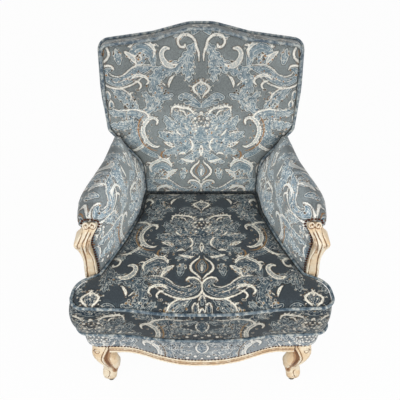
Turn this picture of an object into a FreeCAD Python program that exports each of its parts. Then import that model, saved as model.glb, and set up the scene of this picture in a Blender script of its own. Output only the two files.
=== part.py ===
import FreeCAD
import Part
import math
import os
import Sketcher

# A bergere chair: a beech show-wood frame with closed, padded arms, a camel-topped
# boxed back and a loose T-shaped seat cushion. Millimetres, +Z up, the sitter faces -Y.
# The origin is on the floor under the middle of the chair.

Vector = FreeCAD.Vector

doc = FreeCAD.newDocument("bergere_chair")

# ---------------------------------------------------------------- driving sizes

SIZES = {
    # seat frame
    "rail_bottom": 236.0,
    "rail_depth": 86.0,
    "rail_thickness": 30.0,
    "leg_block_width": 55.0,
    "leg_block_depth": 59.0,
    "leg_corner_radius": 24.0,
    "front_bow": 33.5,
    "apron_drop": 38.0,
    "apron_rise": 26.0,
    "apron_rise_x": 232.0,
    "apron_strip_height": 27.0,
    "apron_strip_proud": 9.0,
    "side_bow": 15.0,
    "stile_setback": 18.0,
    "stile_outset": 16.0,
    "stile_width": 38.0,
    "stile_kick": 78.0,
    "stile_foot_width": 30.0,
    "foot_inset": 31.0,
    "foot_setback": 37.0,
    "knee_reach": 14.0,
    # back
    "rake": 10.18,
    "back_face_y": 174.0,
    "back_face_z": 460.0,
    "back_depth": 101.6,
    "back_height": 560.0,
    "back_half_width": 308.0,
    "back_waist": 189.0,
    "stile_front_depth": 50.0,
    "stile_depth": 44.0,
    "crest_height": 122.0,
    "back_crown": 20.0,
    "lower_rail_bottom": -55.0,
    "lower_rail_height": 45.0,
    # arms
    "arm_height": 700.0,
    "arm_front_width": 47.8,
    "arm_middle_width": 87.9,
    "arm_rear_width": 92.7,
    "arm_setback": 11.0,
    "arm_reach": 94.0,
    "arm_wall": 26.0,
    "arm_rail_width": 28.0,
    "arm_rail_height": 22.0,
    "tack_rail_height": 26.0,
    "post_width": 37.0,
    "post_depth": 40.0,
    "post_setback": 8.0,
    "knuckle_reach": 31.0,
    # cushion
    "cushion_half_width": 374.0,
    "cushion_front_y": -366.0,
    "cushion_overhang": 31.0,
    "front_overhang": 45.0,
    "cushion_ear_y": -226.0,
    "cushion_room": 13.0,
    "cushion_height": 127.5,
    "cushion_crown": 24.0,
    "cushion_lift": 0.5,
    # cloth, padding and trim
    "cloth": 1.6,
    "clearance": 0.4,
    "arm_gap": 3.0,
    "welt_radius": 4.5,
    "panel_thickness": 3.0,
    "band_thickness": 9.0,
    "hessian": 1.0,
    "deck_pad": 7.0,
    "webbing_width": 50.0,
    "webbing_thickness": 1.4,
    "arm_nail_radius": 4.4,
    "arm_nail_pitch": 10.0,
    "rail_nail_radius": 3.2,
    "rail_nail_pitch": 10.0,
    # springs and fixings
    "spring_wire": 3.4,
    "spring_width": 46.0,
    "spring_pitch": 22.0,
    "spring_count": 5.0,
    "dowel_radius": 4.0,
    "dowel_length": 36.0,
    "screw_radius": 2.2,
    "screw_length": 40.0,
    "glide_radius": 11.0,
    "glide_height": 4.0,
}

sheet = doc.addObject("Spreadsheet::Sheet", "Sizes")
for row, (alias, value) in enumerate(SIZES.items(), start=1):
    sheet.set("A%d" % row, alias.replace("_", " "))
    sheet.set("B%d" % row, str(value))
    sheet.setAlias("B%d" % row, alias)
doc.recompute()


def size(alias):
    """One driving size, read back from the sheet."""
    return float(sheet.get(alias))


sub_parts = []


def keep(obj, name):
    """List an object as a sub-part under its own name."""
    obj.Label = name
    sub_parts.append(obj)
    return obj


def feature(name, shape):
    """A sub-part, or a helper, whose shape is worked out here from the sheet."""
    obj = doc.addObject("Part::Feature", name)
    obj.Shape = shape
    return obj


def solid_part(name, shape):
    return keep(feature(name, shape), name)


def mirror_part(source, name):
    """The left-hand twin of a right-hand sub-part."""
    twin = doc.addObject("Part::Mirroring", name)
    twin.Source = source
    twin.Normal = Vector(1, 0, 0)
    twin.Base = Vector(0, 0, 0)
    return keep(twin, name)


# ------------------------------------------------------------- parametric helpers

def origin_plane(body, role):
    return [plane for plane in body.Origin.OriginFeatures if plane.Role == role][0]


def polygon_pad(name, role, corners, length, lift):
    """A PartDesign body: a polygon whose every corner is bound to the sheet, padded."""
    body = doc.addObject("PartDesign::Body", name)
    sketch = body.newObject("Sketcher::SketchObject", name + "_outline")
    sketch.AttachmentSupport = [(origin_plane(body, role), "")]
    sketch.MapMode = "FlatFace"
    sketch.setExpression("AttachmentOffset.Base.z", lift)
    count = len(corners)
    spread = [Vector(math.cos(2 * math.pi * i / count), math.sin(2 * math.pi * i / count), 0) * 100
              for i in range(count)]
    for i in range(count):
        sketch.addGeometry(Part.LineSegment(spread[i], spread[(i + 1) % count]), False)
    for i in range(count):
        sketch.addConstraint(Sketcher.Constraint("Coincident", i, 2, (i + 1) % count, 1))
    for i, (across, up) in enumerate(corners):
        for kind, rule, start in (("DistanceX", across, spread[i].x), ("DistanceY", up, spread[i].y)):
            index = sketch.addConstraint(Sketcher.Constraint(kind, -1, 1, i, 1, start))
            sketch.setExpression("Constraints[%d]" % index, rule)
    pad = body.newObject("PartDesign::Pad", name + "_pad")
    pad.Profile = sketch
    pad.setExpression("Length", length)
    doc.recompute()
    return body


def cut_by(base, tool, name):
    """The base object less the tool object, as its own parametric object."""
    cut = doc.addObject("Part::Cut", name)
    cut.Base = base
    cut.Tool = tool
    doc.recompute()
    return cut


# ----------------------------------------------------------------- shape helpers

def flat(z):
    """Maps an outline's (x, y) to a level plan."""
    return lambda x, y: Vector(x, y, z)


def upright(y):
    """Maps an outline's (x, z) to a plane that faces the front."""
    return lambda x, z: Vector(x, y, z)


RAKE = math.radians(size("rake"))


def raked(depth):
    """Maps (x, height up the back) to the plane that lies depth behind the back's face."""
    def place(x, up):
        y = size("back_face_y") + up * math.sin(RAKE) + depth * math.cos(RAKE)
        z = size("back_face_z") + up * math.cos(RAKE) - depth * math.sin(RAKE)
        return Vector(x, y, z)
    return place


def line_meeting(p, d, q, e):
    """Where the line p + s d meets the line q + t e."""
    cross = d[0] * e[1] - d[1] * e[0]
    s = ((q[0] - p[0]) * e[1] - (q[1] - p[1]) * e[0]) / cross
    return (p[0] + s * d[0], p[1] + s * d[1])


def moved_corners(corners, grow, closed=True):
    """The corners (x, y, radius) of a counter-clockwise outline, moved outwards by grow."""
    count = len(corners)
    ways = []
    for i in range(count if closed else count - 1):
        (ax, ay, _), (bx, by, _) = corners[i], corners[(i + 1) % count]
        length = math.hypot(bx - ax, by - ay)
        ways.append(((bx - ax) / length, (by - ay) / length))
    moved = []
    for i, (x, y, radius) in enumerate(corners):
        before = ways[i - 1] if closed or i > 0 else ways[0]
        after = ways[i % len(ways)] if closed or i < count - 1 else ways[-1]
        p = (x + grow * before[1], y - grow * before[0])
        q = (x + grow * after[1], y - grow * after[0])
        turn = before[0] * after[1] - before[1] * after[0]
        if abs(turn) < 1e-6:
            moved.append((p[0], p[1], radius))
            continue
        mx, my = line_meeting(p, before, q, after)
        bent = radius + grow if turn > 0 else radius - grow
        moved.append((mx, my, max(bent, 0.3) if radius > 0 else 0))
    return moved


def rounded_edges(corners, place, closed=True):
    """Tangent lines and arcs through the corners, mapped into space by place."""
    count = len(corners)
    entries = []
    for i, (x, y, radius) in enumerate(corners):
        if not closed and i in (0, count - 1) or radius <= 0:
            entries.append(((x, y), None, (x, y)))
            continue
        (ax, ay, _), (bx, by, _) = corners[i - 1], corners[(i + 1) % count]
        la, lb = math.hypot(x - ax, y - ay), math.hypot(bx - x, by - y)
        da, db = ((x - ax) / la, (y - ay) / la), ((bx - x) / lb, (by - y) / lb)
        turn = math.atan2(da[0] * db[1] - da[1] * db[0], da[0] * db[0] + da[1] * db[1])
        back = radius * math.tan(abs(turn) / 2)
        back = min(back, 0.49 * la, 0.49 * lb)
        radius = back / math.tan(abs(turn) / 2)
        p = (x - da[0] * back, y - da[1] * back)
        q = (x + db[0] * back, y + db[1] * back)
        bx2, by2 = db[0] - da[0], db[1] - da[1]
        norm = math.hypot(bx2, by2)
        reach = radius / math.cos(turn / 2) - radius
        mid = (x + bx2 / norm * reach, y + by2 / norm * reach)
        entries.append((p, mid, q))
    edges = []
    for i, (p, mid, q) in enumerate(entries):
        if mid:
            edges.append(Part.Arc(place(*p), place(*mid), place(*q)).toShape())
        if closed or i < count - 1:
            nxt = entries[(i + 1) % count][0]
            edges.append(Part.LineSegment(place(*q), place(*nxt)).toShape())
    return edges


def outline(corners, place, grow=0.0):
    moved = moved_corners(corners, grow) if grow else corners
    return Part.Wire(rounded_edges(moved, place))


def strip(corners, place, outer, inner):
    """A closed thin section between two offsets of an open outline."""
    far = moved_corners(corners, outer, closed=False)
    near = moved_corners(corners, inner, closed=False)
    edges = rounded_edges(far, place, closed=False)
    back = rounded_edges(near, place, closed=False)
    end = Part.LineSegment(place(*far[-1][:2]), place(*near[-1][:2])).toShape()
    start = Part.LineSegment(place(*near[0][:2]), place(*far[0][:2])).toShape()
    return Part.Wire(edges + [end] + list(reversed(back)) + [start])


def both_sides(right_half):
    """A whole outline from its right half, which runs anticlockwise to the middle."""
    return right_half + [(-x, y, radius) for x, y, radius in reversed(right_half)]


def prism(wire, along):
    return Part.Face(wire).extrude(along)


def level_prism(corners, low, high, grow=0.0):
    return prism(outline(corners, flat(low), grow), Vector(0, 0, high - low))


def raked_prism(corners, near, far, grow=0.0):
    wire = outline(corners, raked(near), grow)
    return prism(wire, raked(far)(0, 0) - raked(near)(0, 0))


def loft(wires, ruled=False):
    shape = Part.makeLoft(wires, True, ruled)
    if shape.Volume < 0:
        shape.reverse()
    return shape


def box(low, high):
    span = Vector(*high) - Vector(*low)
    return Part.makeBox(span.x, span.y, span.z, Vector(*low))


def solids_only(shape):
    """The largest solid of a cut, without slivers."""
    return max(shape.Solids, key=lambda solid: solid.Volume)


def along(points, y):
    """Straight interpolation of x through (x, y) points, for a given y."""
    ordered = sorted(points, key=lambda point: point[1])
    for (xa, ya), (xb, yb) in zip(ordered, ordered[1:]):
        if y <= yb:
            break
    return xa + (xb - xa) * (y - ya) / (yb - ya)


def tube(edges, radius):
    """A round cord or wire along lines and tangent arcs."""
    path = Part.Wire(edges)
    first = path.OrderedEdges[0]
    start = first.valueAt(first.FirstParameter)
    end = first.valueAt(first.LastParameter)
    if first.Orientation == "Reversed":
        start, end = end, start
    ring = Part.Wire(Part.makeCircle(radius, start, end - start))
    return path.makePipeShell([ring], True, False)


# ------------------------------------------------------------------ levels used often

RAIL_TOP = size("rail_bottom") + size("rail_depth")
APRON_MIDDLE_Z = size("rail_bottom") - size("apron_drop")
LEG_OUTER_X = size("cushion_half_width") - size("cushion_overhang")
LEG_INNER_X = LEG_OUTER_X - size("leg_block_width")
FRONT_CORNER_Y = size("cushion_front_y") + size("front_overhang")
FRONT_RAIL_BACK_Y = FRONT_CORNER_Y + size("rail_thickness")
LEG_REAR_Y = FRONT_CORNER_Y + size("leg_block_depth")
POST_FRONT_Y = size("cushion_ear_y") + size("post_setback")
ARM_FRONT_Y = POST_FRONT_Y + size("arm_setback")
ARM_LENGTH = size("back_face_y") + size("arm_reach") - ARM_FRONT_Y
STILE_FRONT_Y = size("back_face_y") + size("stile_setback")
STILE_INNER_X = size("back_waist") + size("stile_outset")
STILE_OUTER_X = STILE_INNER_X + size("stile_width")
CUSHION_REAR_Y = size("back_face_y") - size("cushion_room")
CREST_BOTTOM = size("back_height") - size("crest_height")
SPRING_TOP = RAIL_TOP + size("clearance") + size("spring_wire")
CLIP_TOP = SPRING_TOP + 1.0
HESSIAN_TOP = CLIP_TOP + size("clearance") / 2 + size("hessian")
DECK_PAD_TOP = HESSIAN_TOP + size("clearance") / 2 + size("deck_pad")
DECK_TOP = DECK_PAD_TOP + size("clearance") / 2 + size("cloth")
CUSHION_BOTTOM = DECK_TOP + size("cushion_lift")
CUSHION_TOP = CUSHION_BOTTOM + size("cushion_height")
WELT = size("welt_radius")
CUSHION_SEAM = CUSHION_TOP - 1
# the arm's top, measured up the raked back
ARM_UP = (size("arm_height") - size("back_face_z")) / math.cos(RAKE)


def front_corners(out):
    """Right half of the serpentine front of the seat, in plan, out from the rail's face."""
    y = FRONT_CORNER_Y - out
    bow = size("front_bow")
    return [(LEG_INNER_X - 67, y, 250.0), (0.29 * LEG_OUTER_X, y - bow, 500.0)]


def apron_z(x):
    """Bottom of the shaped apron: lowest in the middle, sweeping up towards each knee."""
    share = min(abs(x) / size("apron_rise_x"), 1.0)
    rise = size("apron_rise") * (1 - math.cos(math.pi * share)) / 2
    return APRON_MIDDLE_Z + rise


# ---------------------------------------------------------------------- fixings

def rod(start, end, radius):
    way = Vector(*end) - Vector(*start)
    return Part.makeCylinder(radius, way.Length, Vector(*start), way)


def dowel_set():
    """Beech pegs of the rail joints, two to a joint."""
    reach = size("dowel_length") / 2
    radius = size("dowel_radius")
    thick = size("rail_thickness")
    levels = [size("rail_bottom") + share * size("rail_depth") for share in (0.3, 0.7)]
    pegs = []
    for z in levels:
        for side in (-1, 1):
            y = FRONT_RAIL_BACK_Y - thick / 2
            x = LEG_INNER_X
            pegs.append(rod((side * (x - reach), y, z), (side * (x + reach), y, z), radius))
            x = side * (LEG_OUTER_X - thick / 2)
            pegs.append(rod((x, LEG_REAR_Y - reach, z + 10), (x, LEG_REAR_Y + reach, z + 10), radius))
            x = side * (STILE_OUTER_X - thick / 2)
            y = STILE_FRONT_Y
            pegs.append(rod((x, y - reach, z + 10), (x, y + reach * 0.8, z + 10), radius))
            x = STILE_INNER_X
            y = STILE_FRONT_Y + size("rail_thickness") / 2
            pegs.append(rod((side * (x - reach), y, z), (side * (x + reach * 0.6), y, z), radius))
    return Part.makeCompound(pegs)


def screw(head_at, way):
    """A wood screw as a plain shank with a flat head, from its head along way."""
    way = Vector(*way).normalize()
    start = Vector(*head_at)
    shank = Part.makeCylinder(size("screw_radius"), size("screw_length"), start, way)
    head = Part.makeCylinder(2 * size("screw_radius"), 2.5, start - way * 2.5, way)
    return shank.fuse(head).removeSplitter()


def screw_set():
    """Two screws through each corner block, one into each rail."""
    middle = size("rail_bottom") + size("rail_depth") / 2
    front, rear = FRONT_RAIL_BACK_Y, STILE_FRONT_Y
    screws = []
    for side in (-1, 1):
        screws.append(screw((side * (LEG_INNER_X - 33), front + 26, middle - 12), (0, -1, 0)))
        screws.append(screw((side * (LEG_INNER_X + 2), LEG_REAR_Y + 27, middle + 12), (side, 0, 0)))
        screws.append(screw((side * (STILE_INNER_X - 30), rear - 28, middle - 12), (0, 1, 0)))
        screws.append(screw((side * (STILE_INNER_X - 2), rear - 42, middle + 12), (side, 0, 0)))
    return Part.makeCompound(screws)


frame_dowels = solid_part("frame_dowels", dowel_set())
corner_screws = solid_part("corner_screws", screw_set())
frame_fixings = feature("frame_fixings", Part.makeCompound([frame_dowels.Shape, corner_screws.Shape]))

# ------------------------------------------------------------------- seat frame


def front_rail_blank():
    """The bowed front rail with its shaped apron and the moulded strip that stands proud."""
    back = FRONT_RAIL_BACK_Y
    end = LEG_INNER_X
    low = APRON_MIDDLE_Z - 5

    def plan(out):
        half = [(end, back, 0.0), (end, FRONT_CORNER_Y - out, 0.0)] + front_corners(out)
        return both_sides(half)

    steps = 16
    xs = [end * (2.0 * i / steps - 1) for i in range(steps + 1)]

    def front_view(bottom, top):
        lower = Part.BSplineCurve()
        lower.interpolate([Vector(x, -500, apron_z(x) + bottom) for x in xs])
        if top is None:
            upper = Part.LineSegment(Vector(end, -500, RAIL_TOP), Vector(-end, -500, RAIL_TOP))
            left_z, right_z = RAIL_TOP, RAIL_TOP
        else:
            upper = Part.BSplineCurve()
            upper.interpolate([Vector(x, -500, apron_z(x) + top) for x in reversed(xs)])
            left_z = right_z = apron_z(end) + top
        right = Part.LineSegment(Vector(end, -500, apron_z(end) + bottom), Vector(end, -500, right_z))
        left = Part.LineSegment(Vector(-end, -500, left_z), Vector(-end, -500, apron_z(end) + bottom))
        wire = Part.Wire([part.toShape() for part in (lower, right, upper, left)])
        return Part.Face(wire).extrude(Vector(0, 300, 0))

    board = level_prism(plan(0), low, RAIL_TOP).common(front_view(0, None))
    moulding = level_prism(plan(size("apron_strip_proud")), low, RAIL_TOP)
    moulding = moulding.common(front_view(0, size("apron_strip_height")))
    return board.fuse(moulding).removeSplitter()


front_blank = feature("front_rail_blank", front_rail_blank())
front_seat_rail = keep(cut_by(front_blank, frame_fixings, "front_seat_rail"), "front_seat_rail")

REAR_RAIL_END = "(Sizes.back_waist + Sizes.stile_outset)"
REAR_RAIL_Y = "Sizes.back_face_y + Sizes.stile_setback + 2"
rear_blank = polygon_pad(
    "rear_rail_blank", "XY_Plane",
    [("-" + REAR_RAIL_END, REAR_RAIL_Y),
     (REAR_RAIL_END, REAR_RAIL_Y),
     (REAR_RAIL_END, REAR_RAIL_Y + " + Sizes.rail_thickness"),
     ("-" + REAR_RAIL_END, REAR_RAIL_Y + " + Sizes.rail_thickness")],
    "Sizes.rail_depth", "Sizes.rail_bottom")
rear_seat_rail = keep(cut_by(rear_blank, frame_fixings, "rear_seat_rail"), "rear_seat_rail")


def side_line(y, out=0.0):
    """Outer face of the side rail in plan: a shallow bow from the front leg to the stile."""
    share = (y - LEG_REAR_Y) / (STILE_FRONT_Y - LEG_REAR_Y)
    chord = LEG_OUTER_X + share * (STILE_OUTER_X - LEG_OUTER_X)
    return chord + 4 * size("side_bow") * share * (1 - share) + out


def side_rail_blank():
    front, rear = LEG_REAR_Y, STILE_FRONT_Y
    middle = (front + rear) / 2
    low = size("rail_bottom")
    thick = size("rail_thickness")
    ends = {}
    for key, out in (("outer", 0.0), ("inner", -thick)):
        ends[key] = [Vector(side_line(y, out), y, low) for y in (front, middle, rear)]
    outer, inner = ends["outer"], ends["inner"]
    wire = Part.Wire([Part.Arc(*outer).toShape(),
                      Part.LineSegment(outer[2], inner[2]).toShape(),
                      Part.Arc(inner[2], inner[1], inner[0]).toShape(),
                      Part.LineSegment(inner[0], outer[0]).toShape()])
    return prism(wire, Vector(0, 0, size("rail_depth")))


side_blank = feature("side_rail_blank", side_rail_blank())
right_side_rail = keep(cut_by(side_blank, frame_fixings, "right_side_rail"), "right_side_rail")
left_side_rail = mirror_part(right_side_rail, "left_side_rail")
doc.recompute()


def front_leg_blank():
    """A short cabriole leg: the knee swells out under the corner, the foot curls in below."""
    outer = LEG_OUTER_X
    inner = LEG_INNER_X
    front = FRONT_CORNER_Y
    rear = LEG_REAR_Y
    knee, proud = size("knee_reach"), size("apron_strip_proud") - 1
    foot_x, foot_y = LEG_OUTER_X - size("foot_inset"), FRONT_CORNER_Y + size("foot_setback")
    top = size("rail_bottom")
    block = level_prism([(inner, front, 0.0), (outer, front, size("leg_corner_radius")),
                         (outer, rear, 0.0), (inner, rear, 0.0)], top - 12, RAIL_TOP)
    # share of the rail's height, inner x, outer x, front y, rear y, corner radius
    stations = [
        (size("glide_height") / top, foot_x - 15, foot_x + 15, foot_y - 14, foot_y + 20, 9),
        (0.059, foot_x - 19, foot_x + 20, foot_y - 23, foot_y + 25, 14),
        (0.144, foot_x - 20, foot_x + 20, foot_y - 22, foot_y + 26, 14),
        (0.246, foot_x - 20, foot_x + 17, foot_y - 14, foot_y + 26, 12),
        (0.373, foot_x - 27, foot_x + 19, foot_y - 22, foot_y + 25, 13),
        (0.500, inner - 6, outer - 1, front - 2, foot_y + 24, 15),
        (0.644, inner - 10, outer + 5, front - knee + 2, foot_y + 22, 18),
        (0.805, inner - 12, outer + 7, front - knee, foot_y + 22, 21),
        (0.941, inner - 8, outer + 8, front - knee + 4, rear - 4, 25),
        ((apron_z(inner) + size("apron_strip_height")) / top, inner, outer + proud, front - proud, rear, 28),
    ]
    wires = []
    for share, x0, x1, y0, y1, radius in stations:
        corners = [(x0, y0, radius), (x1, y0, radius), (x1, y1, radius), (x0, y1, radius)]
        wires.append(outline(corners, flat(share * top)))
    leg = loft(wires).fuse(block)
    rail_side = box((inner - 40, front - 40, 0), (inner, rear + 40, RAIL_TOP))
    return solids_only(leg.cut(rail_side.common(front_blank.Shape)))


leg_blank = feature("front_leg_blank", front_leg_blank())
right_front_leg = keep(cut_by(leg_blank, frame_fixings, "right_front_leg"), "right_front_leg")
left_front_leg = mirror_part(right_front_leg, "left_front_leg")
doc.recompute()


def stile_section(z, x0, x1, y0, y1):
    return Part.makePolygon([Vector(x0, y0, z), Vector(x1, y0, z), Vector(x1, y1, z),
                             Vector(x0, y1, z), Vector(x0, y0, z)])


def stile_top_x():
    """Inner face of the stile where it meets the crest rail."""
    return size("back_half_width") - 4 - size("stile_width")


def back_post_blank():
    """Rear leg and back stile in one piece: kicked back below, raked and splayed above."""
    inner, outer = STILE_INNER_X, STILE_OUTER_X
    front = STILE_FRONT_Y
    low = size("rail_bottom")
    toe = size("stile_foot_width") / 2
    foot_x, foot_y = (inner + outer) / 2 + 6, STILE_FRONT_Y + size("stile_kick")
    near, far = size("stile_front_depth"), size("stile_front_depth") + size("stile_depth")

    def plane(depth, z):
        """Where a plane that lies depth behind the back's face is, at a height."""
        return size("back_face_y") + (z - size("back_face_z")) * math.tan(RAKE) + depth / math.cos(RAKE)

    leg = loft([
        stile_section(size("glide_height"), foot_x - toe, foot_x + toe, foot_y - toe, foot_y + toe),
        stile_section(low * 0.4, inner + 5, outer, front + 14, front + 51),
        stile_section(low * 0.75, inner + 1, outer, front + 2, front + 38),
        stile_section(low, inner, outer, front, plane(far, low))])
    top = CREST_BOTTOM
    x0, x1 = stile_top_x(), stile_top_x() + size("stile_width")
    top_wire = Part.makePolygon([raked(near)(x0, top), raked(near)(x1, top), raked(far)(x1, top),
                                 raked(far)(x0, top), raked(near)(x0, top)])
    joint = loft([stile_section(low, inner, outer, front, plane(far, low)),
                  stile_section(RAIL_TOP, inner, outer, front, plane(far, RAIL_TOP))], ruled=True)
    shoulder = RAIL_TOP + 26
    spread = (x0 - inner) * (shoulder - RAIL_TOP) / (raked(near)(x0, top).z - RAIL_TOP)
    foot = stile_section(RAIL_TOP, inner, outer, front, plane(far, RAIL_TOP))
    step = stile_section(shoulder, inner + spread, outer + spread,
                         plane(near, shoulder), plane(far, shoulder))
    stile = loft([foot, step, top_wire], ruled=True)
    return leg.fuse([joint, stile]).removeSplitter()


post_blank = feature("back_post_blank", back_post_blank())
right_back_post = keep(cut_by(post_blank, frame_fixings, "right_back_post"), "right_back_post")
mirror_part(right_back_post, "left_back_post")

# ------------------------------------------------------------------------- back

def back_outline():
    """Right half of the back's face: up past the arm, round the ear, to the camel top."""
    half = size("back_half_width")
    high = size("back_height")
    waist = size("back_waist")
    return [
        (waist, deck_height_on_back(), 0.0),
        (waist + 10, ARM_UP - 126, 85.0),
        (half - 6, ARM_UP - 5, 16.0),
        (half + 1, ARM_UP + 86, 600.0),
        (half, high - 51, 20.0),
        (0.48 * half, high - 32, 150.0),
        (0.117 * half, high, 130.0),
    ]


def deck_height_on_back():
    """Bottom of the inside back, just over the seat deck, measured up the rake."""
    return (DECK_TOP + 6 * size("clearance") - size("back_face_z")) / math.cos(RAKE)


def rear_outline():
    """Right half of the back's rear edge, which is a little wider than its face."""
    half = size("back_half_width")
    high = size("back_height")
    flare = 20.0
    return [
        (half - 8, ARM_UP - 64, 0.0),
        (half + flare - 8, ARM_UP - 9, 18.0),
        (half + flare + 4, ARM_UP + 86, 600.0),
        (half + flare, high - 56, 34.0),
        (0.50 * half, high - 32, 150.0),
        (0.125 * half, high - 2, 130.0),
    ]


def pad_corners():
    return both_sides(back_outline())


def back_box_shape(shrink, near, far):
    """The boxed upper back between two depths, its side walls flaring to the rear edge."""
    front_half = [(back_outline()[2][0] - 14, ARM_UP - 60, 0.0)] + back_outline()[2:]
    front = outline(both_sides(front_half), raked(0), -shrink)
    rear = outline(both_sides(rear_outline()), raked(size("back_depth")), -shrink)
    whole = loft([front, rear], ruled=True)
    slab = raked_prism([(-500, -400, 0), (500, -400, 0), (500, 700, 0), (-500, 700, 0)], near, far)
    return whole.common(slab)


def crowned(corners, centre, rise, place_at, levels=(1.0, 0.95, 0.86, 0.72, 0.5, 0.25)):
    """A low dome on an outline: each ring is the outline drawn in towards a centre."""
    rings = []
    for share in levels:
        height = rise * (1 - share ** 2) ** 0.75
        ring = [(centre[0] + (x - centre[0]) * share, centre[1] + (y - centre[1]) * share, r * share)
                for x, y, r in corners]
        rings.append(outline(ring, place_at(height)))
    return loft(rings, ruled=True)


def back_crown(rise_from):
    """The crowned front of the back pad, above the part that the cushion covers."""
    upper = [(back_outline()[1][0] - 12, 30.0, 0.0)] + back_outline()[1:]
    corners = both_sides(upper)
    return crowned(corners, (0.0, 0.55 * size("back_height")), size("back_crown"),
                   lambda height: raked(rise_from - height))


cloth = size("cloth")
gap = size("clearance")
pad_front = cloth + gap / 2
webbing_front = size("stile_front_depth") - gap - 2 * size("webbing_thickness")
pad_back = webbing_front - gap - size("hessian")


def back_pad_shape():
    body = raked_prism(pad_corners(), pad_front, pad_back, -(cloth + gap / 2))
    dome = back_crown(pad_front).common(raked_prism(pad_corners(), -60, pad_back, -(cloth + gap / 2)))
    under = box((-400, 0, 0), (400, 500, DECK_TOP + gap))
    return solids_only(body.fuse(dome).removeSplitter().cut(under).cut(boxing))


def inside_cover_shape():
    skin = raked_prism(pad_corners(), 0, cloth).fuse(back_crown(0))
    return solids_only(skin.cut(back_crown(cloth)))


def back_welt_shape(half, depth, grow):
    corners = moved_corners(both_sides(half), grow, closed=False)
    return tube(rounded_edges(corners, raked(depth), closed=False), WELT)


def boxing_shape():
    """The band of cloth round the back's edge, open where it is tucked down behind the arms."""
    outer = back_box_shape(0, 1.6 * WELT + gap, size("back_depth") - size("panel_thickness") - gap)
    inner = back_box_shape(cloth, 0, size("back_depth"))
    hem = back_outline()[2][0] - 20
    foot = ARM_UP - 60
    half = [(hem, foot - 20, 0.0), (hem, foot + 20, 0.0)]
    return solids_only(outer.cut(inner).cut(raked_prism(both_sides(half), -10, 200)))


def crest_rail_shape():
    """The camel-shaped top rail, standing on the two stiles."""
    low = CREST_BOTTOM
    end = stile_top_x() + size("stile_width")
    room = 14.0
    _, _, _, _, shoulder, valley, crown = back_outline()
    half = [(end, low, 0.0), (end, shoulder[1] - room, 12.0), (valley[0], valley[1] - room, valley[2]),
            (crown[0], crown[1] - room, crown[2])]
    near = size("stile_front_depth")
    return raked_prism(both_sides(half), near, near + size("stile_depth"))


def between_stiles():
    """The space between the two stiles, up to the crest rail."""
    near, far = size("stile_front_depth"), size("stile_front_depth") + size("stile_depth")
    low, top = STILE_INNER_X - gap / 4, stile_top_x() - gap / 4
    front = STILE_FRONT_Y
    rear = front + 200
    up = CREST_BOTTOM
    lower = Part.makePolygon([Vector(-low, front, RAIL_TOP), Vector(low, front, RAIL_TOP),
                              Vector(low, rear, RAIL_TOP), Vector(-low, rear, RAIL_TOP),
                              Vector(-low, front, RAIL_TOP)])
    upper = Part.makePolygon([raked(near)(-top, up), raked(near)(top, up), raked(far + 150)(top, up),
                              raked(far + 150)(-top, up), raked(near)(-top, up)])
    return loft([lower, upper], ruled=True)


def lower_rail_shape():
    """The tacking rail between the stiles, just above the seat."""
    low = size("lower_rail_bottom")
    near = size("stile_front_depth")
    half = [(300.0, low, 0.0), (300.0, low + size("lower_rail_height"), 0.0)]
    board = raked_prism(both_sides(half), near, near + size("stile_depth") * 0.7)
    return solids_only(board.common(between_stiles()))


solid_part("back_crest_rail", crest_rail_shape())
solid_part("back_lower_rail", lower_rail_shape())
boxing = boxing_shape()
solid_part("back_boxing", boxing)
solid_part("back_pad", back_pad_shape())
solid_part("back_inside_cover", inside_cover_shape())


def outside_back_shape():
    """The flat outer back: from the camel top down to the underside of the rear rail."""
    upper = rear_outline()
    drop = size("back_face_z") - size("rail_bottom") - 2
    base_up = (size("back_depth") * math.sin(RAKE) - drop) / math.cos(RAKE)
    half = [(STILE_OUTER_X + 4, base_up, 0.0), (STILE_OUTER_X + 18, -20.0, 300.0)] + upper
    far = size("back_depth")
    return raked_prism(both_sides(half), far - size("panel_thickness"), far)


def back_webbing_shape():
    """Three upright and three level straps, tacked to the front of the stiles and rails."""
    thick = size("webbing_thickness")
    wide = size("webbing_width")
    front = webbing_front
    low = size("lower_rail_bottom") + 4
    straps = []
    for i in range(3):
        x = (i - 1) * 2.1 * wide
        half = [(x - wide / 2, low, 0), (x + wide / 2, low, 0),
                (x + wide / 2, CREST_BOTTOM + 30, 0), (x - wide / 2, CREST_BOTTOM + 30, 0)]
        straps.append(raked_prism(half, front + thick, front + 2 * thick))
    for up in (0.07 * size("back_height"), 0.35 * size("back_height"), 0.57 * size("back_height")):
        crest_z = raked(front)(0, CREST_BOTTOM).z
        inside = along([(STILE_INNER_X, RAIL_TOP), (stile_top_x(), crest_z)], raked(front)(0, up).z)
        reach = inside + size("stile_width") / 2
        half = [(-reach, up, 0), (reach, up, 0), (reach, up + wide, 0), (-reach, up + wide, 0)]
        straps.append(raked_prism(half, front, front + thick))
    return Part.makeCompound(straps)


def back_hessian_shape():
    near = pad_back + gap / 2
    return raked_prism(pad_corners(), near, near + size("hessian"), -14.0)


solid_part("back_outside_panel", outside_back_shape())
webbing = back_webbing_shape()
solid_part("back_webbing", webbing)
solid_part("back_hessian", back_hessian_shape())
solid_part("back_front_welt", back_welt_shape(back_outline(), WELT * 0.6, WELT + 0.1))
solid_part("back_rear_welt", back_welt_shape(rear_outline(), size("back_depth") - WELT * 0.6, WELT + 0.1))

# ------------------------------------------------------------------------- cushion


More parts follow.
